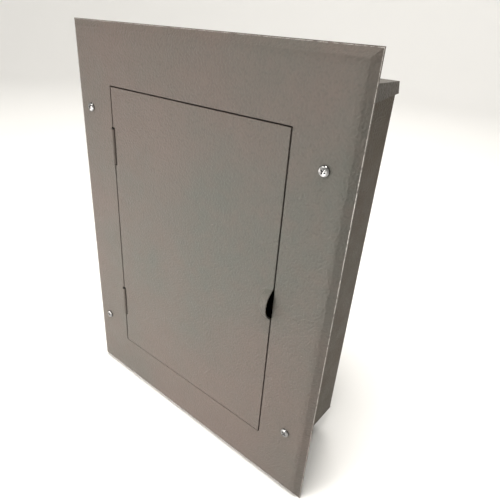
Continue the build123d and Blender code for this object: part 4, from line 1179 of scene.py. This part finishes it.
def pin_shape():
    """A bent pin that leaves its chip along +X."""
    side = (
        (0, 1.3), (0.6, 1.3), (0.9, 0.2), (1.7, 0.2), (1.7, 0.0), (0.75, 0.0), (0.45, 1.1), (0, 1.1),
    )
    shape = bmesh.new()
    near = [shape.verts.new((MM * x, -MM * y, -PIN_HALF)) for x, y in side]
    far = [shape.verts.new((MM * x, -MM * y, PIN_HALF)) for x, y in side]
    shape.faces.new(near)
    shape.faces.new(far[::-1])
    for n in range(len(side)):
        m = (n + 1) % len(side)
        shape.faces.new((near[m], near[n], far[n], far[m]))
    bmesh.ops.recalc_face_normals(shape, faces=shape.faces)
    return link("pin_shape", to_mesh(shape, "pin"))


def join(name, pieces):
    """Joins pieces into one object."""
    shape = bmesh.new()
    finish = pieces[0].data.materials[0]
    for piece in pieces:
        shape.from_mesh(piece.data)
        bpy.data.objects.remove(piece)
    mesh = to_mesh(shape, name)
    mesh.materials.append(finish)
    return link(name, mesh)


pin = pin_shape()
rows = []
for chip_x, chip_z in CHIPS:
    for quarter in range(4):
        turn = Matrix.Rotation(quarter * math.pi / 2, 3, "Y")
        first = turn @ Vector((CHIP_HALF, 0, -PIN_PITCH * (PINS - 1) / 2))
        step = turn @ Vector((0, 0, PIN_PITCH))
        start = first + Vector((MM * chip_x, board_face, MM * chip_z))
        rows.append(set_out(
            "pin_row", pin, finishes["terminal_metal"], start, step, PINS,
            turn=(0, quarter * math.pi / 2, 0),
        ))
pins = join("chip_pins", rows)
bpy.data.objects.remove(pin)
add_to(pins, "cabinet")
print("chip pins", len(pins.data.polygons), "faces")

# %% [markdown]
# ## Display
# Behind the clear window is a liquid crystal with two lines of character cells, all
# blank. The glass is a thin sheet, and the cells are tiny raised rectangles in rows, set
# out by the tree: forty of them, so that would be dull work by hand.

# %% Build the display
DISPLAY_X, DISPLAY_Z = -28, 110
GLASS_HALF = (42, 13)
GLASS_SHEET = 0.8 * MM
CELL_HALF = (1.6 * MM, 2.8 * MM)
CELL_RISE = 0.06 * MM
CELL_PITCH = 3.8 * MM
LINE_PITCH = 8 * MM
CELL_START = (-36.1, -4)
CELLS_IN_LINE = 20
module_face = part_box("display_module")[0].y
lcd_back = new_finish("lcd_green", (0.20, 0.30, 0.06), 0.2)
haze = remap(lcd_back, noise(lcd_back, 25 * MM), 0.3, 0.7)
for socket, dim, lit in (
    ("Base Color", (0.17, 0.27, 0.05), (0.26, 0.36, 0.09)),
    ("Emission Color", (0.05, 0.08, 0.01), (0.08, 0.11, 0.02)),
):
    connect(lcd_back, blend_colour(lcd_back, haze, dim, lit), socket)
shader_of(lcd_back).inputs["Emission Strength"].default_value = 1.0
glass_face = module_face - GLASS_SHEET
half_x, half_z = GLASS_HALF
glass = rounded_block(
    "lcd_glass", (MM * (DISPLAY_X - half_x), glass_face, MM * (DISPLAY_Z - half_z)),
    (MM * (DISPLAY_X + half_x), module_face, MM * (DISPLAY_Z + half_z)), 0.3 * MM, lcd_back,
)
add_to(glass, "cabinet")
cell_finish = moulded("lcd_cell", (0.10, 0.16, 0.03), 0.25)
half_x, half_z = CELL_HALF
cell = rounded_block(
    "cell_shape", (-half_x, -CELL_RISE, -half_z), (half_x, 0, half_z), 0.02 * MM, cell_finish
)
start_x, start_z = CELL_START
cells = set_out(
    "lcd_cells", cell, cell_finish,
    Vector((MM * (DISPLAY_X + start_x), glass_face, MM * (DISPLAY_Z + start_z))),
    (CELL_PITCH, 0, 0), CELLS_IN_LINE, (0, 0, LINE_PITCH), 2,
)
bpy.data.objects.remove(cell)
add_to(cells, "cabinet")

# %% [markdown]
# ## Printed numbers
# The dress panel carries only numbers: one by each lamp and each button, so that a
# manual can refer to them. Text is a curve, so it is made a mesh before it is placed.

# %% Print the numbers
NUMBER_SIZE = 4.2 * MM
INK_DEPTH = 0.03 * MM
INK_SINK = 0.02 * MM
LAMP_NUMBERS = (6, -82, 17, 72.5)
BUTTON_NUMBERS = (4, -66, 30, 42)
ink = moulded("panel_ink", (0.03, 0.03, 0.035), 0.5)
panel_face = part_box("dress_panel")[0].y
marks = []


def number(text, x, z):
    """One printed number that faces the front, centred on x and z in millimetres."""
    curve = bpy.data.curves.new("number", "FONT")
    curve.body = text
    curve.size = NUMBER_SIZE
    curve.align_x = "CENTER"
    curve.align_y = "CENTER"
    curve.extrude = INK_DEPTH
    mark = settle(link("number_curve", curve), "number")
    place = Matrix.Translation((MM * x, panel_face - INK_SINK, MM * z))
    mark.data.transform(place @ Matrix.Rotation(math.pi / 2, 4, "X"))
    mark.data.materials.clear()
    mark.data.materials.append(ink)
    return mark


for count, first_x, pitch, z in (LAMP_NUMBERS, BUTTON_NUMBERS):
    for n in range(count):
        marks.append(number(str(len(marks) + 1), first_x + pitch * n, z))
numbers = join("printed_numbers", marks)
add_to(numbers, "cabinet")
print("numbers", len(numbers.data.polygons), "faces")

# %% [markdown]
# ## Sizes
# The looks must not change how big the object is. Both boxes are written down, the CAD
# model's and the dressed one's, so they can be compared.

# %% Write the sizes and finish
dressed_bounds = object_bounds()
for before, after in zip(cad_bounds, dressed_bounds):
    print("bounds", [round(c, 4) for c in before], [round(c, 4) for c in after])
